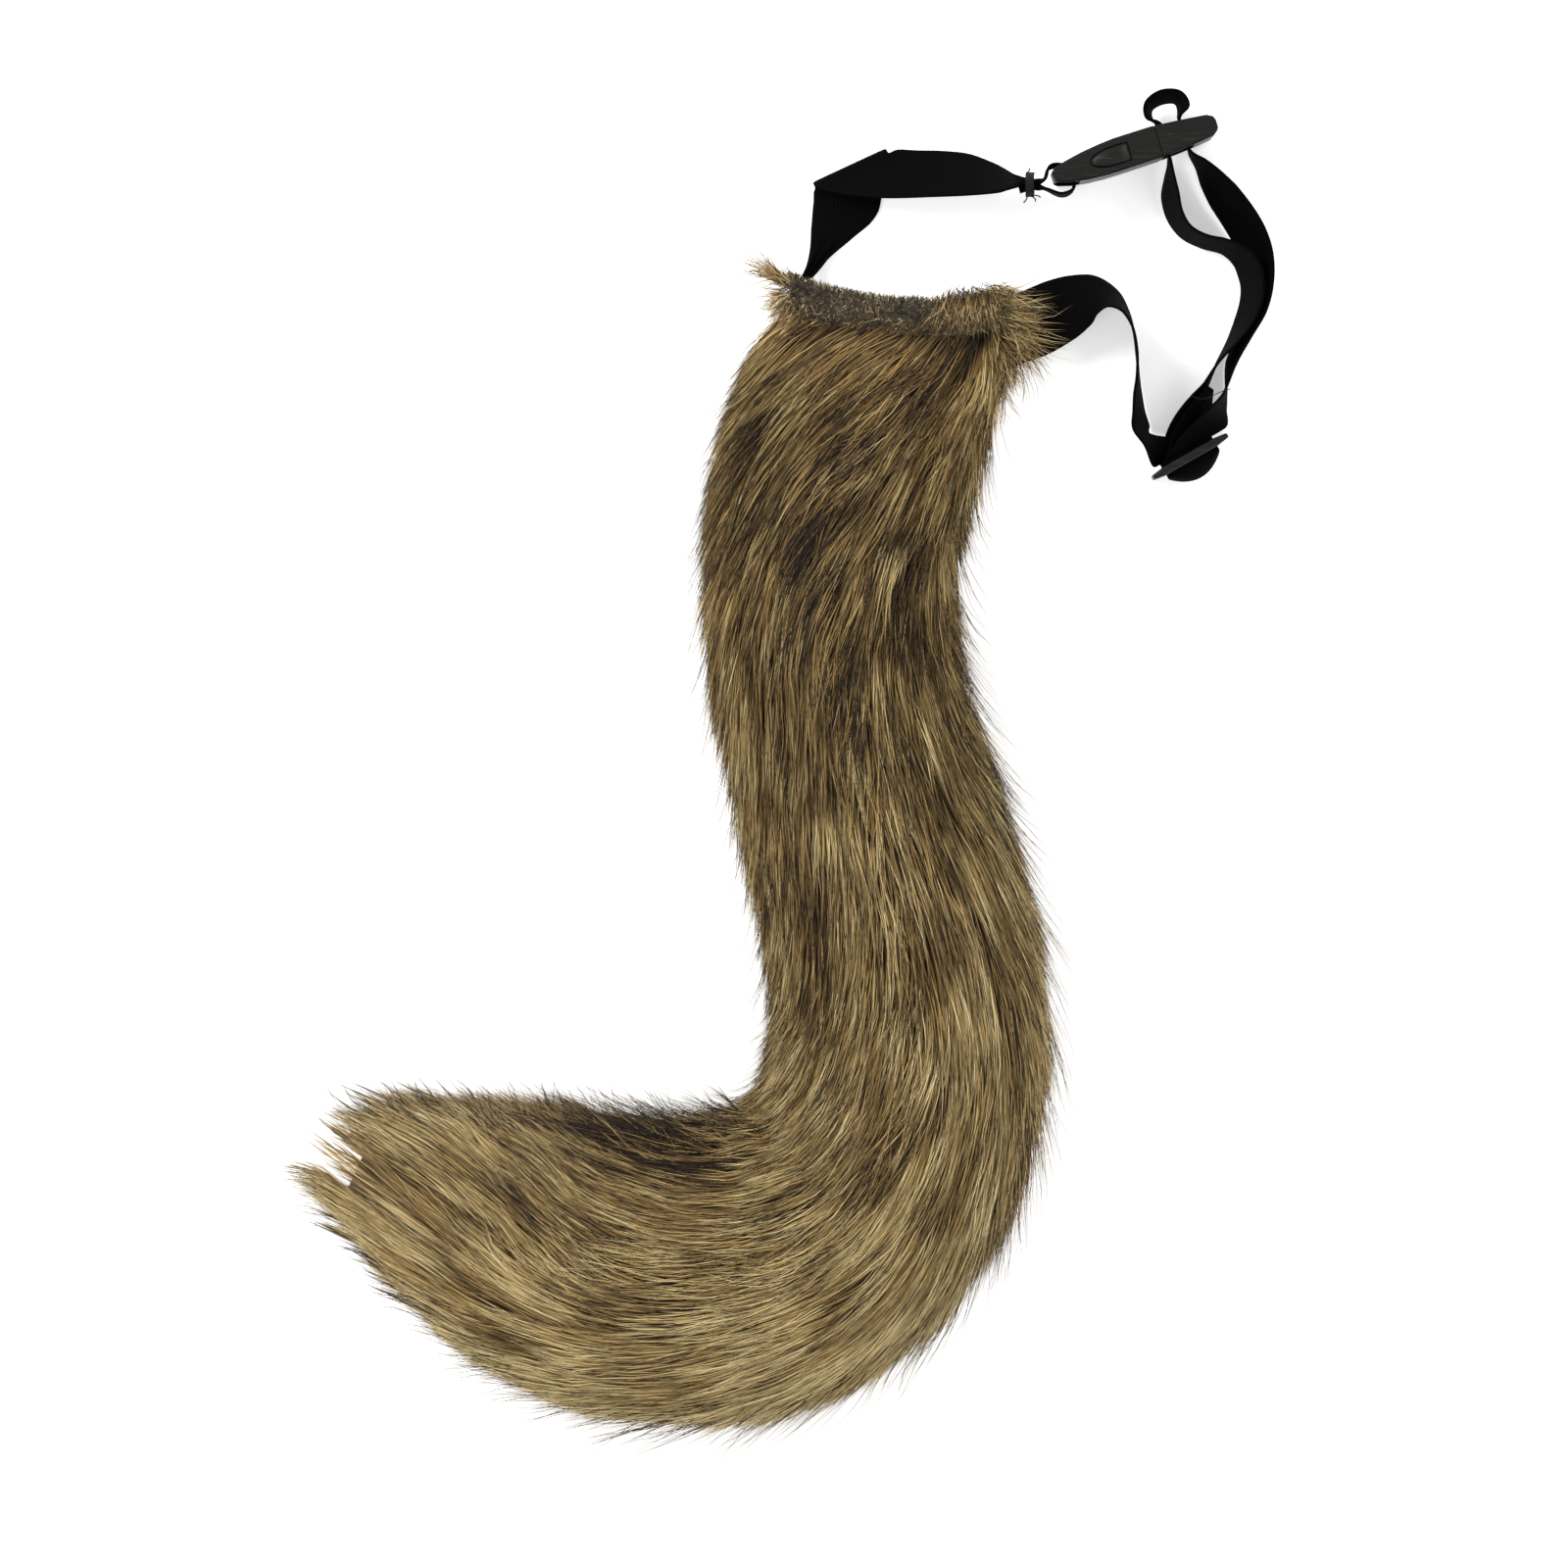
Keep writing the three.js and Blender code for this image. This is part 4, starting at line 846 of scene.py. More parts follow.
def merged_copy(node, name):
    """A copy of a solid's mesh with its doubled points merged and its flat faces joined."""
    made = bmesh.new()
    made.from_mesh(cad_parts[node].data)
    bmesh.ops.remove_doubles(made, verts=made.verts, dist=SAME_PLACE)
    bmesh.ops.dissolve_limit(made, angle_limit=SAME_PLANE, verts=made.verts, edges=made.edges)
    mesh = bpy.data.meshes.new(name)
    made.to_mesh(mesh)
    made.free()
    return mesh


pile_backing = Finish("pile_backing", 0.95, Sheen_Weight=0.2)
BACKING_SHADES = [(0.3, "1d1812"), (0.5, "3b3226"), (0.7, "665a44")]
backing_spots = pile_backing.noise(pile_backing.place(), 700.0)
pile_backing.colour(pile_backing.ramp(backing_spots, BACKING_SHADES))
pile_backing.relief(backing_spots, 0.8 * MM)
backing_mesh = merged_copy("hem_band", "band_backing")
band = put_object("band_backing", backing_mesh, pile_backing.material)
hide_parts("hem_band")
print("faces of the band's backing:", len(backing_mesh.polygons))

# %% [markdown]
# The curls grow out of the band's front face and over its top, so their roots are places along
# that outline and across the band. Near the front's upper edge they turn from forwards to
# upwards.

# %% Where the curls grow
short_pile = Finish("short_pile", 0.9, Sheen_Weight=0.1, Specular_IOR_Level=0.15)
curl_u = short_pile.uv("OFBake")[0]
CURL_SHADES = [(0.0, "1b150f"), (0.3, "4b3f2c"), (0.55, "83714f"), (0.8, "b5a57f"), (1.0, "dccda6")]
short_pile.colour(short_pile.ramp(curl_u, CURL_SHADES))
BAND_CURLS = 2300
hem_facing = SECTIONS[0, HEADING] + SECTIONS[0, SKEW]
hem_way = heading_vector(np.array(float(hem_facing)))
hem_side = heading_vector(np.array(hem_facing + 90.0))
band_height = HEM_THICKNESS + 2 * (BAND_WALL + GAP)
band_front = -BAND_WALL - GAP
# the outline that curls grow from: up the front face, then back over the top
outline_length = band_height + BAND_DEPTH - band_front
outline_at = outline_length * chance.random(BAND_CURLS)
on_front = outline_at < band_height
curl_forward = np.where(on_front, band_front, band_front + outline_at - band_height)
curl_height = np.where(on_front, outline_at, band_height)
curl_share = 2 * chance.random(BAND_CURLS) - 1
curl_across = curl_share * (HEM_WIDTH / 2 - 0.5 * MM)
curl_dip = HEM_DIP * (1 - curl_share ** 2)
curl_root = (HEM_MIDDLE + hem_side * curl_across[:, None]
             + hem_way * (curl_forward + curl_dip)[:, None])
curl_root[:, 2] = curl_height
up_share = smooth_step(band_height - 5 * MM, band_height + 3 * MM, outline_at)[:, None]
curl_out = unit(-hem_way * (1 - up_share) + np.array([0, 0, 1.0]) * up_share)
curl_out = unit(curl_out + chance.normal(0, 0.3, (BAND_CURLS, 3)))
print("roots on the band's front and top:", np.count_nonzero(on_front), np.count_nonzero(~on_front))

# %% [markdown]
# A curl goes outwards from its root and winds round that way in a spiral that widens as it goes.
# Its tone is a slow patch from the lattice with a good deal of chance, which looks like curly
# pile.

# %% Curls of short pile
CURL_RINGS = np.linspace(0, 1, 6)
curl_lie = unit(np.cross(curl_out, chance.normal(0, 1, (BAND_CURLS, 3))))
curl_reach = (2.2 + 2.6 * chance.random(BAND_CURLS)) * MM
curl_size = (0.5 + 0.8 * chance.random(BAND_CURLS)) * MM
curl_turn = (2.5 + 3.5 * chance.random(BAND_CURLS))[:, None] * CURL_RINGS
curl_cross = np.cross(curl_out, curl_lie)
# a curl is its root + out * reach * s + (cos t * lie + sin t * cross) * size * s
spiral = (np.cos(curl_turn)[..., None] * curl_lie[:, None]
          + np.sin(curl_turn)[..., None] * curl_cross[:, None])
curl_paths = ((curl_root - curl_out * 0.6 * MM)[:, None]
              + curl_out[:, None] * (curl_reach[:, None] * CURL_RINGS)[..., None]
              + spiral * (curl_size[:, None] * CURL_RINGS)[..., None])
curl_paths[..., 2] = np.maximum(curl_paths[..., 2], 0.4 * MM)
curl_patch = lattice_noise(curl_across / MM / 6 + 50, outline_at / MM / 5 + 10)
curl_tone = 0.32 + 0.7 * (curl_patch - 0.5) + chance.normal(0, 0.24, BAND_CURLS)
curl_widths = (0.3 + 0.2 * chance.random(BAND_CURLS)) * MM
curl_mesh = strand_mesh("band_curls", curl_paths, curl_lie, curl_widths,
                        np.clip(curl_tone, 0.02, 0.97), taper=(1.0, 1.0, 1.0, 0.9, 0.7))
put_object("band_curls", curl_mesh, short_pile.material)
print("curls:", BAND_CURLS, "triangles:", len(curl_mesh.polygons))

# %% [markdown]
# At both corners of the band the long pile spills over its ends: a tuft points up and away on the
# left, and on the right a fan of hair hides the strap's sewn end. Each group of hairs is a short
# row: where its roots start and stop in the photograph, the height they stand at, and the
# headings they spread between. A hair leaves its root, turns a little and droops or rises as it
# goes.


# %% Hair over the corners of the band
def spill(count, start, stop, scatter, heights, headings, length, rise):
    """root + heading * length * s, the heading turning with s, at height + rise * s^1.4."""
    share = chance.random(count)
    where = np.array([place_of_pixel(*start), place_of_pixel(*stop)])
    root = where[0] * (1 - share[:, None]) + where[1] * share[:, None]
    root = root + chance.normal(0, scatter * ROUTE_STEP, (count, 2))
    heading = headings[0] + (headings[1] - headings[0]) * share + chance.normal(0, 10, count)
    long = length * (0.55 + 0.7 * chance.random(count))
    bend = chance.normal(0, 16, count)
    s = STATIONS[None, :]
    way = heading_vector(heading[:, None] + bend[:, None] * s)
    paths = way * (long[:, None] * s)[..., None]
    paths[..., :2] += root[:, None]
    low, high = heights
    up = rise * (0.4 + 1.0 * chance.random(count))
    paths[..., 2] = (low + (high - low) * chance.random(count))[:, None] + up[:, None] * s ** 1.4
    paths[..., 2] = np.maximum(paths[..., 2], 0.5 * MM)
    return paths


# count, first and last root and scatter in pixels, then heights, headings, length and rise in mm
# and degrees
SPILLS = [
    (150, (984, 301), (1020, 299), 5, (19.5, 21.0), (-34, -14), 14, 1.0),
    (320, (966, 304), (1012, 302), 5, (20.5, 22.0), (-112, -78), 17, 0.5),
    (280, (818, 326), (962, 338), 4, (19.5, 21.5), (206, 244), 9, -0.5),
    (230, (1008, 306), (1028, 350), 8, (17.0, 21.0), (-4, -46), 23, 2.0),
    (200, (1028, 304), (1038, 350), 3, (5.0, 19.0), (-2, -50), 15, 1.0),
    (140, (1022, 345), (1032, 378), 4, (9.0, 20.0), (-52, -84), 12, -2.0),
    (240, (1014, 338), (1022, 392), 4, (6.0, 23.0), (-76, -100), 18, 0.5),
    (70, (806, 289), (812, 296), 4, (14.0, 21.0), (138, 152), 9, 2.0),
    (90, (799, 286), (804, 292), 2, (14.0, 20.0), (146, 154), 19, 2.0),
    (180, (800, 296), (806, 330), 3, (4.0, 20.0), (190, 252), 10, -1.0),
    (120, (812, 298), (816, 326), 4, (19.0, 21.5), (205, 262), 11, 0.5),
]
spill_paths = np.concatenate([
    spill(count, start, stop, scatter, np.array(heights) * MM, headings, length * MM, rise * MM)
    for count, start, stop, scatter, heights, headings, length, rise in SPILLS
])
spill_count = len(spill_paths)
spill_tone = np.clip(0.58 + chance.normal(0, 0.22, spill_count), 0.05, PALEST)
spill_mesh = strand_mesh("corner_hair", spill_paths, np.tile([0.0, 0.0, 1.0], (spill_count, 1)),
                         (0.2 + 0.17 * chance.random(spill_count)) * MM,
                         shade_u_of(spill_tone, chance.random(spill_count) < 0.3))
put_object("corner_hair", spill_mesh, long_pile.material)
print("hairs over the corners:", spill_count)

# %% [markdown]
# The strap is flat woven elastic. A curve object with a flat profile could draw it, but a curve
# turns its profile by a rule of its own, and this strap leans, folds and stands on edge in a set
# way. So the strap is a list of stations, each a middle point and a direction across the strap
# whose length says how much of the width is drawn together there. Both run smoothly through their
# stations.


# %% Smooth curves through stations
def smooth_through(points, shares):
    """Centripetal Catmull-Rom: cubics whose end slopes come from the roots of the distances."""
    row = np.vstack([2 * points[0] - points[1], points, 2 * points[-1] - points[-2]])
    before, start, stop, after = (row[at:len(row) - 3 + at, None] for at in range(4))
    roots = [np.sqrt(np.linalg.norm(far - near, axis=-1, keepdims=True))
             for near, far in ((before, start), (start, stop), (stop, after))]
    middle = np.where(roots[1] < 1e-4, 1.0, roots[1])
    first = np.where(roots[0] < 1e-4, middle, roots[0])
    last = np.where(roots[2] < 1e-4, middle, roots[2])
    leave = middle * ((start - before) / first - (stop - before) / (first + middle)
                      + (stop - start) / middle)
    reach = middle * ((stop - start) / middle - (after - start) / (middle + last)
                      + (after - stop) / last)
    s = shares[None, :, None]
    curve = (start * (2 * s ** 3 - 3 * s ** 2 + 1) + leave * (s ** 3 - 2 * s ** 2 + s)
             + stop * (3 * s ** 2 - 2 * s ** 3) + reach * (s ** 3 - s ** 2))
    return np.vstack([curve.reshape(-1, points.shape[1]), points[-1]])


def even_steps(path, step, *others):
    """The path at equal distances along it, and other columns read at the same places."""
    travelled = np.append(0, np.cumsum(np.linalg.norm(np.diff(path, axis=0), axis=1)))
    places = np.linspace(0, travelled[-1], int(travelled[-1] / step) + 1)
    read = [np.stack([np.interp(places, travelled, column) for column in rows.T], axis=1)
            for rows in (path, *others)]
    return places, *read


# %% [markdown]
# The route was read from the photograph in steps of one pixel from the middle of the tail's top
# edge. Height is a share of the strap's width. Lean turns the upper edge over: 0 is flat on the
# floor and 90 stands on edge. Where the heading is left open, the strap's side is square to the
# way it runs.


# %% Stations from the rows of a route
RUN = math.nan


def stations(middles, heading, lean, stretch=1.0):
    """Rows of a middle point and stretch * (cos(lean) along the heading + sin(lean) upwards)."""
    heading, lean, stretch = (np.broadcast_to(value, len(middles))
                              for value in (heading, np.radians(lean), stretch))
    across = heading_vector(heading) * np.cos(lean)[:, None]
    across[:, 2] = np.sin(lean)
    return np.hstack([middles, across * stretch[:, None]])


def neighbours_apart(points):
    """From the point before to the point after, with the ends standing in for missing ones."""
    return np.vstack([points[1:], points[-1]]) - np.vstack([points[0], points[:-1]])


def route(rows):
    """Stations from rows of x, y, up, heading, lean and, where given, stretch."""
    rows = np.array([(*row, 1.0)[:6] for row in rows], float)
    middles = HEM_MIDDLE + rows[:, :3] * (ROUTE_STEP, ROUTE_STEP, STRAP_WIDTH)
    moves = neighbours_apart(middles)
    side = np.degrees(np.arctan2(moves[:, 1], moves[:, 0])) + 90
    heading = np.where(np.isnan(rows[:, 3]), side, rows[:, 3])
    return stations(middles, heading, rows[:, 4], rows[:, 5])


# %% [markdown]
# The right strap has three open runs: from the tail to the slider, from the slider up to the
# buckle, and from the buckle back to the slider. Most of it stands on edge, and it twists as it
# turns.

# %% Open runs of the right strap
FROM_TAIL = [
    (116, -38, 0.4, RUN, 180), (136, -31, 0.38, RUN, 177), (164, -17, 0.34, RUN, 161),
    (184, -7, 0.37, RUN, 143), (200, -2, 0.43, RUN, 126), (217, -6, 0.49, RUN, 108),
    (229, -18, 0.52, RUN, 97), (237, -36, 0.52, RUN, 92), (241, -60, 0.52, RUN, 91),
    (242, -84, 0.52, RUN, 93), (242, -104, 0.52, RUN, 98), (243, -120, 0.52, RUN, 101),
    (245, -136, 0.51, RUN, 106), (251, -149, 0.5, 243, 77, 0.95), (264, -159, 0.4, 233, 56, 0.84),
    (279, -161, 0.25, 220, 22, 0.8),
]
TO_BUCKLE = [
    (337, -72, 0.52, RUN, 97), (350, -45, 0.52, RUN, 100), (363, -16, 0.51, RUN, 106),
    (367, 10, 0.5, RUN, 110), (364, 36, 0.49, RUN, 115), (356, 57, 0.49, RUN, 118),
    (345, 76, 0.5, RUN, 118), (330, 97, 0.53, RUN, 116), (316, 116, 0.58, RUN, 108),
    (306, 130, 0.64, RUN, 98),
]
FROM_BUCKLE = [
    (274, 118, 0.64, RUN, 84), (275, 98, 0.57, RUN, 77), (280, 78, 0.53, RUN, 78),
    (291, 62, 0.52, RUN, 80), (310, 52, 0.52, RUN, 81), (330, 47, 0.52, RUN, 80),
    (347, 37, 0.51, RUN, 74), (356, 22, 0.5, RUN, 71), (359, 6, 0.5, RUN, 72),
    (357, -11, 0.51, RUN, 73), (350, -29, 0.51, RUN, 76), (338, -50, 0.52, RUN, 83),
    (323, -72, 0.52, RUN, 90),
]
print("rows of the open runs:", len(FROM_TAIL), len(TO_BUCKLE), len(FROM_BUCKLE))

# %% [markdown]
# Beside the slider three layers of the strap lie on each other. They share one middle line, and
# each layer is that line moved off it, square to the strap's face, by the distances in
# millimetres.

# %% Three layers beside the slider
STACK = [(296, -152, 0.43, 204, 9, 0.82), (298, -141, 0.47, 195, 30, 0.84),
         (303, -127, 0.5, 186, 55, 0.92), (310, -112, 0.52, 179, 74), (318, -98, 0.52, 173, 85)]
LAYER_A = np.array([6.6, 6.8, 6.5, 6.2, 5.6]) * MM
LAYER_B = np.array([-2.9, -2.8, -2.9, -3.2, -3.2]) * MM
LAYER_C = np.array([2.8, 1.2, 0.1, -0.5, -0.7]) * MM


def stack(offsets):
    """The stack's stations, moved off its middle line square to the strap's face."""
    base = route(STACK)
    level = neighbours_apart(base[:, :3]) * (1, 1, 0)
    out = np.cross(level, base[:, 3:])
    shift = out / np.linalg.norm(out, axis=1, keepdims=True) * offsets[:, None]
    return np.hstack([base[:, :3] + shift, base[:, 3:]])


# %% [markdown]
# Inside the buckle and the slider the slots set the strap's place, so those stations are laid out
# in the frames of the two pieces: along and across the buckle, and through the slider and up from
# its middle.

# %% Stations in the buckle and the slider
BUCKLE_HEADING = 17.5
BUCKLE_START = HEM_MIDDLE + np.array([155, 117, 0]) * ROUTE_STEP
BUCKLE_MIDDLE = 18.9 * MM
SLOT_A, SLOT_B = 47.4, 56.4
SLOT_EDGE = 7.59
SLIDER_HEADING = 29.8
SLIDER_MIDDLE = HEM_MIDDLE + np.array([295, -167, 0]) * ROUTE_STEP
SLIDER_HALF = 11.3 * MM
CUP_SHARE = 0.84


def at_buckle(rows):
    """Stations from rows of u along the buckle and v across it in mm, lean and, if given, turn."""
    u, v, lean, turn = np.array([(*row, 0.0)[:4] for row in rows], float).T
    middles = (BUCKLE_START + heading_vector(np.full(len(u), BUCKLE_HEADING)) * u[:, None] * MM
               + heading_vector(np.full(len(u), BUCKLE_HEADING + 90)) * v[:, None] * MM)
    middles[:, 2] = BUCKLE_MIDDLE
    return stations(middles, BUCKLE_HEADING + turn, lean)


def at_slider(rows):
    """Stations from rows of n through the slider's slots and the height off its middle, in mm."""
    n, height = np.array(rows, float).T
    middles = SLIDER_MIDDLE + heading_vector(np.full(len(n), SLIDER_HEADING - 90)) * n[:, None] * MM
    middles[:, 2] = SLIDER_HALF + height * MM
    return stations(middles, SLIDER_HEADING + 180, 0.0, CUP_SHARE)


# %% [markdown]
# The right strap starts inside the tail, loops through the slider's outer slots, goes up and over
# the buckle's bar, and comes back to end on the slider's middle bar.

# %% The right strap from end to end
INNER, OUTER = 3.4, 5.9
SEWN_DEPTH = 9 * MM
from_tail = route(FROM_TAIL)
sewn_move = unit(from_tail[0, :3] - from_tail[1, :3]) * SEWN_DEPTH
right_stations = np.vstack([
    np.append(from_tail[0, :3] + sewn_move, from_tail[0, 3:]), from_tail,
    at_slider([(-3, -OUTER), (-0.4, -OUTER), (2.4, -OUTER), (5.6, -OUTER - 0.8), (8.6, -2.6),
               (8.8, 2.2), (5.8, OUTER + 0.7), (2.4, OUTER), (-0.4, OUTER), (-3, OUTER)]),
    stack(LAYER_A), route(TO_BUCKLE),
    at_buckle([(SLOT_B, -SLOT_EDGE, 90), (SLOT_B, 0, 90), (SLOT_B, SLOT_EDGE, 90),
               (SLOT_B + 2.8, 10.6, 82), (SLOT_B + 2, 15.4, 82, 45), (52, 17.6, 81, 90),
               (SLOT_A - 1.6, 15.6, 82, 135), (SLOT_A - 2.8, 11, 83, 180),
               (SLOT_A, SLOT_EDGE, 90), (SLOT_A, 0, 90), (SLOT_A, -SLOT_EDGE, 90)]),
    route(FROM_BUCKLE), stack(LAYER_B)[::-1],
    at_slider([(-3, -INNER), (-0.4, -INNER), (2.4, -INNER), (4.3, -1.87), (4.3, 1.87),
               (2.4, INNER), (-0.4, INNER), (-3, INNER)]),
    stack(LAYER_C),
])
print("stations of the right strap:", len(right_stations))

# %% [markdown]
# The left strap comes out of the hem's left corner, folds over on itself and stands up while a
# thread gathers it. It turns round the bar at the buckle's end and comes back as far as the
# thread.

# %% The left strap from end to end
GATHER = 0.42
FROM_HEM = [
    (-96, 14, 0.3, 200, 20, 0.25), (-84, 32, 0.14, 200, 12, 0.36), (-69, 53, 0.06, 193, 0, 0.66),
    (-60, 70, 0.035, 184, 0, 0.87), (-55, 85, 0.035, 181, 0, 0.97), (-53, 98, 0.035, 184, 0, 1.0),
    (-51, 113, 0.035, 194, 0, 1.08), (-49, 125, 0.035, 204, 0, 1.17),
    (-51, 130, 0.085, 205, 0, 1.18), (-48, 125.5, 0.14, 206, 2, 1.17),
    (-33, 124, 0.2, 217, 10, 1.1), (0, 121, 0.35, 237, 33, 1.03), (39, 121, 0.4, 254, 43, 1.0),
    (70, 120, 0.45, 265, 50, 1.0), (100, 116, 0.5, 271, 62, 0.95), (116, 114, 0.55, 274, 72, 0.74),
    (126, 113, 0.6, 275, 82, GATHER), (138, 112, 0.63, 275, 86, GATHER),
    (147, 115, 0.66, 275, 88, 0.88),
]
BACK_TO_GATHER = [
    (148, 105, 0.66, 275, 88, 0.88), (138, 107, 0.63, 275, 86, GATHER),
    (126, 106, 0.6, 275, 82, GATHER), (121, 105, 0.59, 275, 80, GATHER * 1.1),
]
left_stations = np.vstack([
    route(FROM_HEM),
    at_buckle([(-0.4, 4.0, 90), (4.4, 3.5, 90), (7.64, 0.2, 90), (7.91, -4.4, 90), (6.02, -7.6, 90),
               (1.4, -8, 90)]),
    route(BACK_TO_GATHER),
])
print("stations of the left strap:", len(left_stations))

# %% [markdown]
# The strap's section is a flat rectangle with soft edges and a slightly thicker selvedge. It is
# carried along the stations as a closed ring. Where the thread draws the strap together, the
# spare width goes into small pleats, and both layers fold the same way, so they nest.


# %% Straps from their stations
STRAP_THICKNESS = 1.4 * MM
STEPS_BETWEEN = 16
RING_STEP = 1.2 * MM
ACROSS_POINTS = 19
PLEAT_RISE = 0.75 * MM
CUP_SHARE_LEFT = 0.25
CUP_START = 2.3 * MM
CUP_REACH = 20 * MM
edge_turn = np.linspace(0, np.pi, ACROSS_POINTS)
section_across = np.concatenate([np.cos(edge_turn), np.cos(edge_turn[1:-1])[::-1]])
section_side = np.concatenate([np.ones(ACROSS_POINTS), -np.ones(ACROSS_POINTS - 2)])
section_body = np.sqrt(1 - np.abs(section_across) ** 14)
selvedge = 0.88 + 0.12 * smooth_step(0.82, 0.93, np.abs(section_across))


def cup_at_slider(points):
    """Draws the strap's edges in round the slider: n' = start + (n - start) (1 - 0.75 a^2)."""
    out = heading_vector(np.array(SLIDER_HEADING - 90))
    off = points - SLIDER_MIDDLE
    n = off @ out
    near = (np.linalg.norm(off[..., :2], axis=-1) < CUP_REACH) & (n > CUP_START)
    drawn = (1 - CUP_SHARE_LEFT) * section_across ** 2 * (n - CUP_START)
    return points - np.where(near, drawn, 0.0)[..., None] * out


def strap_mesh(name, rows, pleat=0.0):
    """middle + across * a * w / 2 + face * (t / 2 * sqrt(1 - a^14) + pleat * cos(3 pi a))."""
    shares = np.linspace(0, 1, STEPS_BETWEEN, endpoint=False)
    middles, acrosses = smooth_through(rows[:, :3], shares), smooth_through(rows[:, 3:], shares)
    places, middles, acrosses = even_steps(middles, RING_STEP, acrosses)
    tangents = unit(np.gradient(middles, axis=0))
    faces = unit(np.cross(tangents, acrosses))
    drawn = smooth_step(0.1, 0.5, 1 - np.linalg.norm(acrosses, axis=1))
    fold = pleat * (drawn * np.sign(faces[:, 1]))[:, None] * np.cos(3 * np.pi * section_across)
    thick = STRAP_THICKNESS / 2 * section_side * section_body * selvedge
    points = (middles[:, None] + acrosses[:, None] * (section_across * STRAP_WIDTH / 2)[:, None]
              + faces[:, None] * (thick + fold)[..., None])
    points = cup_at_slider(points)
    marks = np.stack(np.broadcast_arrays(places[:, None] / MM,
                                         section_across * STRAP_WIDTH / MM / 2), axis=-1)
    print(name, "length in mm:", round(places[-1] / MM, 1), "rings:", len(places))
    return face_out(closed_tube(name, len(places), len(section_across), points.reshape(-1, 3),
                                marks.reshape(-1, 2)))


# %% [markdown]
# Elastic is woven in ribs that run along it, crossed by a finer weft. Both are sine waves of the
# strap's own uv, which is written in millimetres along and across it, so the weave follows each
# bend. Its colour is painted shade and light: darker in the weave's hollows and paler on its ribs.

# %% Woven elastic on both straps
elastic = Finish("woven_elastic", 0.85, Specular_IOR_Level=0.02)
run_mm, across_mm = elastic.uv("strip_mm")
RIB_PITCH, WEFT_PITCH = 1.4, 0.7
rib = elastic.maths("SINE", elastic.maths("MULTIPLY", across_mm, 2 * math.pi / RIB_PITCH))
weft_turn = elastic.maths("MULTIPLY", run_mm, 2 * math.pi / WEFT_PITCH)
weft = elastic.maths("MULTIPLY", elastic.maths("SINE", weft_turn), elastic.maths("ABSOLUTE", rib))
weave = elastic.maths("MULTIPLY_ADD", elastic.maths("ADD", rib, weft), 0.25, 0.5)
# painted shade and light: the weave is darker in its hollows and paler on its ribs
elastic.colour(elastic.ramp(weave, [(0.0, "030303"), (0.6, "070707"), (1.0, "111110")]))
elastic.relief(weave, 0.15 * MM, 0.8)
for name, node, rows, pleat in (("elastic_left", "strap_left", left_stations, PLEAT_RISE),
                                ("elastic_right", "strap_right", right_stations, 0.0)):
    strap = put_object(name, strap_mesh(name, rows, pleat), elastic.material)
    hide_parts(node)

# %% [markdown]
# Buckle and slider are moulded plastic, and their solids have the right shape. A moulding has no
# sharp edge anywhere, though, so merged copies with a small live bevel stand for them. The
# plastic is satin with a faint grain, and fine scratches run along the buckle where it rubs.

# %% Moulded plastic
EDGE_ANGLE = math.radians(28)
BEVEL_WIDTH = 0.6 * MM
plastic = Finish("satin_plastic", 0.4, Specular_IOR_Level=0.22)
grain = plastic.noise(plastic.place(), 2600.0, detail=2.0)
scratch_frame = plastic.node("ShaderNodeMapping")
scratch_frame.inputs["Rotation"].default_value[2] = -math.radians(BUCKLE_HEADING)
scratch_frame.inputs["Scale"].default_value = (60, 2400, 500)
plastic.link(plastic.place(), scratch_frame.inputs["Vector"])
scratches = plastic.noise(scratch_frame.outputs["Vector"], 1.0, detail=4.0, rough=0.7)
plastic.colour(plastic.ramp(scratches, [(0.3, "090908"), (0.58, "11110f"), (0.7, "37352f")]))
plastic.roughness(scratches, 0.34, 0.52)
plastic.relief(grain, 0.05 * MM, 0.5)
for node in ("buckle_socket", "buckle_plug", "slider"):
    mesh = merged_copy(node, "moulded_" + node)
    mesh.set_sharp_from_angle(angle=EDGE_ANGLE)
    moulded = put_object("moulded_" + node, mesh, plastic.material)
    bevel = moulded.modifiers.new("moulded edges", "BEVEL")
    bevel.width = BEVEL_WIDTH
    bevel.segments = 2
    bevel.angle_limit = EDGE_ANGLE
    bevel.use_clamp_overlap = True
    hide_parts(node)
    print(mesh.name, "faces before its bevel:", len(mesh.polygons))

# %% [markdown]
# The release button in the upper window is a low dome that a fingertip finds. It fills the
# window's outline, which is half an oval at one end and square at the other, and rises a little
# above the face.

# %% The dome of the upper button
BUTTON_MIDDLE, BUTTON_LONG, BUTTON_WIDE = 24 * MM, 16.2 * MM, 7.2 * MM
BUTTON_FACE = 37.4 * MM
BUTTON_RISE = 1.9 * MM
NOSE_SHARE = 0.6
nose_turn = np.linspace(np.pi / 2, 3 * np.pi / 2, 21)
nose = BUTTON_LONG * NOSE_SHARE
round_end = np.stack([nose * (1 + np.cos(nose_turn)) - BUTTON_LONG / 2,
                      BUTTON_WIDE / 2 * np.sin(nose_turn)], axis=1)
square_end = np.array([(0.94, -1.0), (1.0, -0.8), (1.0, 0.0), (1.0, 0.8), (0.94, 1.0)])
dome_outline = np.vstack([round_end, square_end * (BUTTON_LONG / 2, BUTTON_WIDE / 2)])
dome_share = np.array([1.0, 1.0, 0.97, 0.88, 0.72, 0.5, 0.25])
dome_up = np.append(-0.3, np.sqrt(1 - dome_share[1:] ** 2 + 1e-6))
dome_flat = dome_outline[None] * dome_share[:, None, None]
dome_way = heading_vector(np.array([BUCKLE_HEADING, BUCKLE_HEADING + 90]))
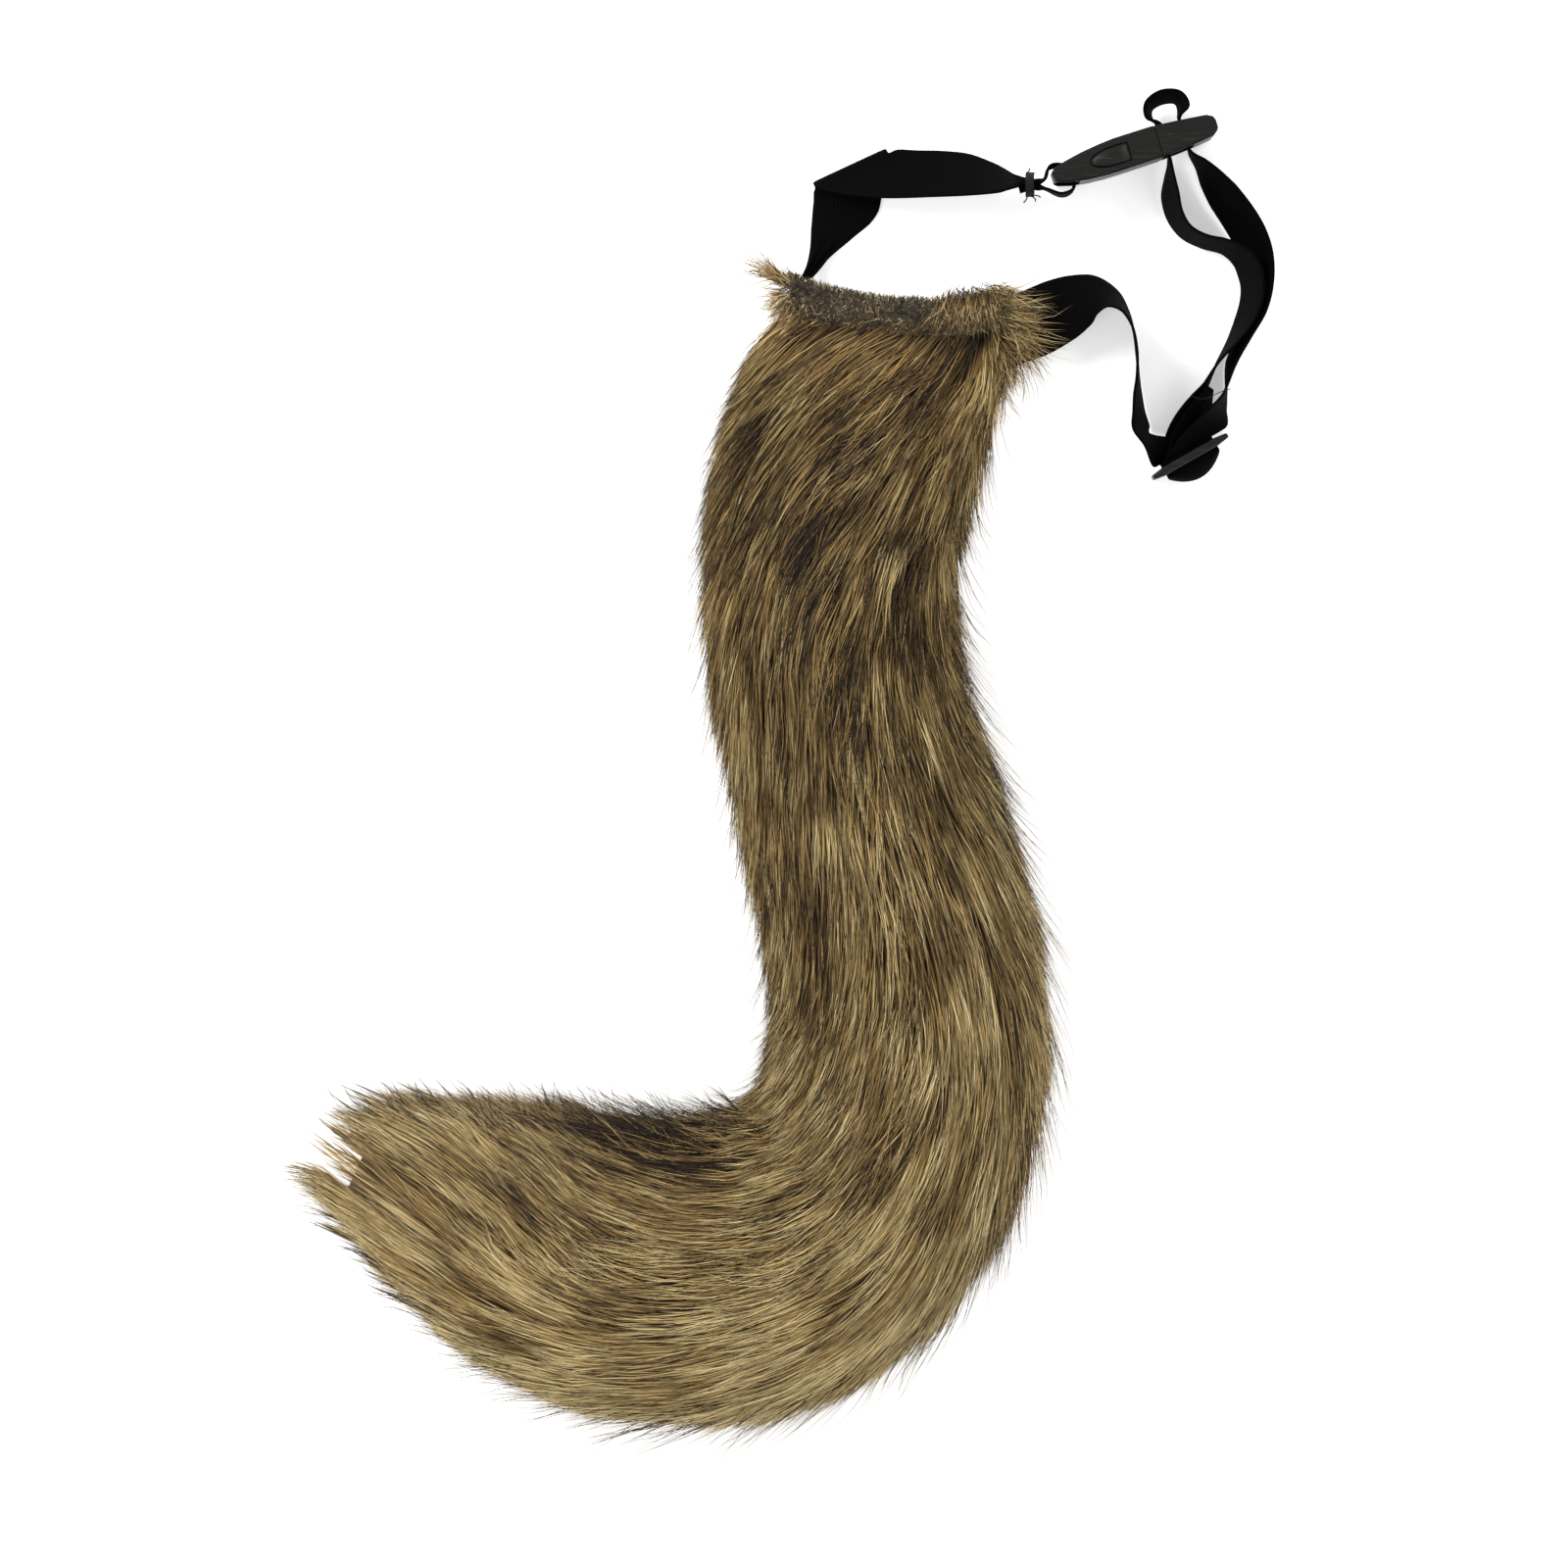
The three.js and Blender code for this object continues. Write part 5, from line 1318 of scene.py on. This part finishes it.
dome_points = (BUCKLE_START + dome_way[0] * (BUTTON_MIDDLE + dome_flat[..., :1])
               + dome_way[1] * dome_flat[..., 1:])
dome_points[..., 2] = BUTTON_FACE + BUTTON_RISE * dome_up[:, None]
dome_mesh = face_out(closed_tube("button_dome", len(dome_share), len(dome_outline),
                                 dome_points.reshape(-1, 3)))
put_object("button_dome", dome_mesh, plastic.material)
print("dome faces:", len(dome_mesh.polygons))

# %% [markdown]
# The tie is one thread wound round the drawn-together strap, so it is a helix: it goes round the
# same oval as the solid tie and moves along a little with each turn. Its ends stick out and fray.
# One loose thread also lies over the strap near the slider.


# %% Threads as thin tubes
THREAD_SIDES = 7


def thread_points(path, thick, reference):
    """path + (cos t * side + sin t * up) * thick / 2, with side and up square to the path."""
    tangents = unit(np.gradient(path, axis=0))
    side = unit(np.cross(tangents, reference))
    up = np.cross(side, tangents)
    turn = np.linspace(0, 2 * np.pi, THREAD_SIDES, endpoint=False)
    ring = (np.cos(turn)[:, None] * side[:, None] + np.sin(turn)[:, None] * up[:, None])
    return (path[:, None] + ring * thick / 2).reshape(-1, 3)


def threads_mesh(name, threads):
    """Several threads, given as rows of path, thickness and reference direction, as one mesh."""
    made = bmesh.new()
    for path, thick, reference in threads:
        points = thread_points(path, thick, np.array(reference, float))
        one = face_out(closed_tube(name, len(path), THREAD_SIDES, points))
        made.from_mesh(one)
        bpy.data.meshes.remove(one)
    mesh = bpy.data.meshes.new(name)
    made.to_mesh(mesh)
    made.free()
    return mesh


# %% [markdown]
# The winding wobbles a little from turn to turn, because it is wound by hand. A loose end is a
# short bowed line that starts on the tie.

# %% The tie and the loose threads
WINDINGS = 6
WINDING_POINTS = 44
TIE_HALF_HIGH = 10.0 * MM
TIE_HALF_ACROSS = 4.7 * MM
TIE_HALF_LONG = 1.6 * MM
TIE_THREAD, FRAYED_THREAD, LOOSE_END_THREAD = 0.85 * MM, 0.55 * MM, 0.34 * MM
tie_middle = HEM_MIDDLE + np.array([*GATHER_PLACE, 0.62 * STRAP_WIDTH])
wind = np.linspace(0, 1, WINDINGS * WINDING_POINTS)
wind_turn = 2 * np.pi * WINDINGS * wind
wobble = (lattice_noise(wind * 40 + 3, wind * 0 + 5) - 0.5) * 0.5 * MM
winding = tie_middle + np.stack([
    TIE_HALF_LONG * (2 * wind - 1) + wobble,
    (TIE_HALF_ACROSS + wobble * 0.4) * np.cos(wind_turn),
    (TIE_HALF_HIGH + wobble * 0.4) * np.sin(wind_turn),
], axis=1)
# each loose end: start off the tie's middle, then how far its tip goes from there, in mm
LOOSE_ENDS = [
    ((-1.2, -4.9, 4.0), (-1.4, -2.6, -1.0)), ((0.6, -4.9, 3.0), (1.6, -2.2, 0.6)),
    ((1.4, -4.6, 5.0), (2.8, -1.0, 1.5)), ((-1.0, 4.7, 4.0), (0.5, 1.8, 1.2)),
]
thread_rows = [(winding, TIE_THREAD, (1, 0, 0))]
for start, reach in LOOSE_ENDS:
    s = np.linspace(0, 1, 12)[:, None]
    bow = np.sin(np.pi * s) * np.array([0.5, 0.2, 0.4])
    end_path = tie_middle + (np.array(start) + np.array(reach) * s + bow) * MM
    thread_rows.append((end_path, FRAYED_THREAD, (0.3, 0.2, 1)))
thread_finish = Finish("waxed_thread", 0.75, Specular_IOR_Level=0.15)
thread_spots = thread_finish.noise(thread_finish.place(), 1800.0)
THREAD_SHADES = [(0.3, "0b0b0b"), (0.55, "1b1a19"), (0.75, "35332f")]
thread_finish.colour(thread_finish.ramp(thread_spots, THREAD_SHADES))
thread_finish.relief(thread_spots, 0.15 * MM)
tie_mesh = threads_mesh("wound_thread", thread_rows)
tie = put_object("wound_thread", tie_mesh, thread_finish.material)
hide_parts("thread_tie")

# pixel column and row, and height in mm
LOOSE_THREAD = [(1213, 406, 28.9), (1221, 409, 29.2), (1229, 409, 29.3), (1237, 405, 29.5),
                (1245, 401.5, 29.3), (1253, 399, 27.5)]
loose_rows = np.array([[*place_of_pixel(x, y), height * MM] for x, y, height in LOOSE_THREAD])
loose_path = smooth_through(loose_rows, np.linspace(0, 1, 8, endpoint=False))
loose_mesh = threads_mesh("loose_thread", [(loose_path, LOOSE_END_THREAD, (0, 0, 1))])
put_object("loose_thread", loose_mesh, thread_finish.material)
print("threads:", len(thread_rows) + 1)

# %% [markdown]
# The floor is a plain pale sheet, a hair's breadth under the object. It glows a little, so that
# it stays as pale as paper under soft light.

# %% Floor
floor_finish = Finish("pale_floor", 0.9, Specular_IOR_Level=0.1)
floor_finish.shader.inputs["Base Color"].default_value = (0.92, 0.92, 0.92, 1)
floor_finish.shader.inputs["Emission Color"].default_value = (1, 1, 1, 1)
floor_finish.shader.inputs["Emission Strength"].default_value = 0.42
FLOOR_HALF = 4.0
FLOOR_DROP = 0.2 * MM
floor_corners = np.array([(-1, -1, 0), (1, -1, 0), (1, 1, 0), (-1, 1, 0)]) * FLOOR_HALF
floor_corners = floor_corners - (0, 0, FLOOR_DROP)
floor_mesh = mesh_from_faces("pale_floor", floor_corners, np.array([[0, 1, 2, 3]]))
floor_mesh.materials.append(floor_finish.material)
floor = bpy.data.objects.new("pale_floor", floor_mesh)
bpy.context.scene.collection.objects.link(floor)
print("floor's side in metres:", 2 * FLOOR_HALF)

# %% [markdown]
# The light is soft: four wide panels round the object, with the strongest at the upper left, and
# a pale sky. None of them hangs straight above, so that the black plastic stays black on top and
# shines on its rounded edges.

# %% Light
PANEL_SIZE, PANEL_HEIGHT = 1.1, 1.9
# name, place over the floor and power in watts
PANELS = [
    ("upper_left_panel", -1.7, 1.3, 54), ("upper_right_panel", 1.8, 1.3, 28),
    ("lower_left_panel", -1.7, -1.5, 22), ("lower_right_panel", 1.8, -1.5, 18),
]
for name, x, y, power in PANELS:
    light = bpy.data.lights.new(name, "AREA")
    light.size = PANEL_SIZE
    light.energy = power
    lamp = bpy.data.objects.new(name, light)
    lamp.location = (x, y, PANEL_HEIGHT)
    lamp.rotation_euler = (-lamp.location).to_track_quat("-Z", "Y").to_euler()
    bpy.context.scene.collection.objects.link(lamp)

sky = bpy.data.worlds.new("pale_sky")
sky.use_nodes = True
sky.node_tree.nodes["Background"].inputs["Color"].default_value = (1, 1, 1, 1)
sky.node_tree.nodes["Background"].inputs["Strength"].default_value = 0.6
bpy.context.scene.world = sky
bpy.context.scene.view_settings.view_transform = "Standard"
print("light panels:", len(PANELS))

# %% [markdown]
# The photograph looks straight down from far away, so the camera hangs high over the object with
# a long lens. The width that it frames follows from the size of one pixel on the floor.

# %% Camera
PIXELS = 1600
CAMERA_HEIGHT = 5.0
frame_side = PIXELS * ROUTE_STEP
camera_x, camera_y = place_of_pixel(PIXELS / 2, PIXELS / 2)
lens = bpy.data.cameras.new("overhead_camera")
lens.lens = lens.sensor_width * CAMERA_HEIGHT / frame_side
lens.clip_end = 50
camera = bpy.data.objects.new("overhead_camera", lens)
camera.location = (camera_x, camera_y, CAMERA_HEIGHT)
bpy.context.scene.collection.objects.link(camera)
bpy.context.scene.camera = camera
print("camera over, in mm:", round(camera_x / MM, 1), round(camera_y / MM, 1))
print("its lens in mm:", round(lens.lens, 1))
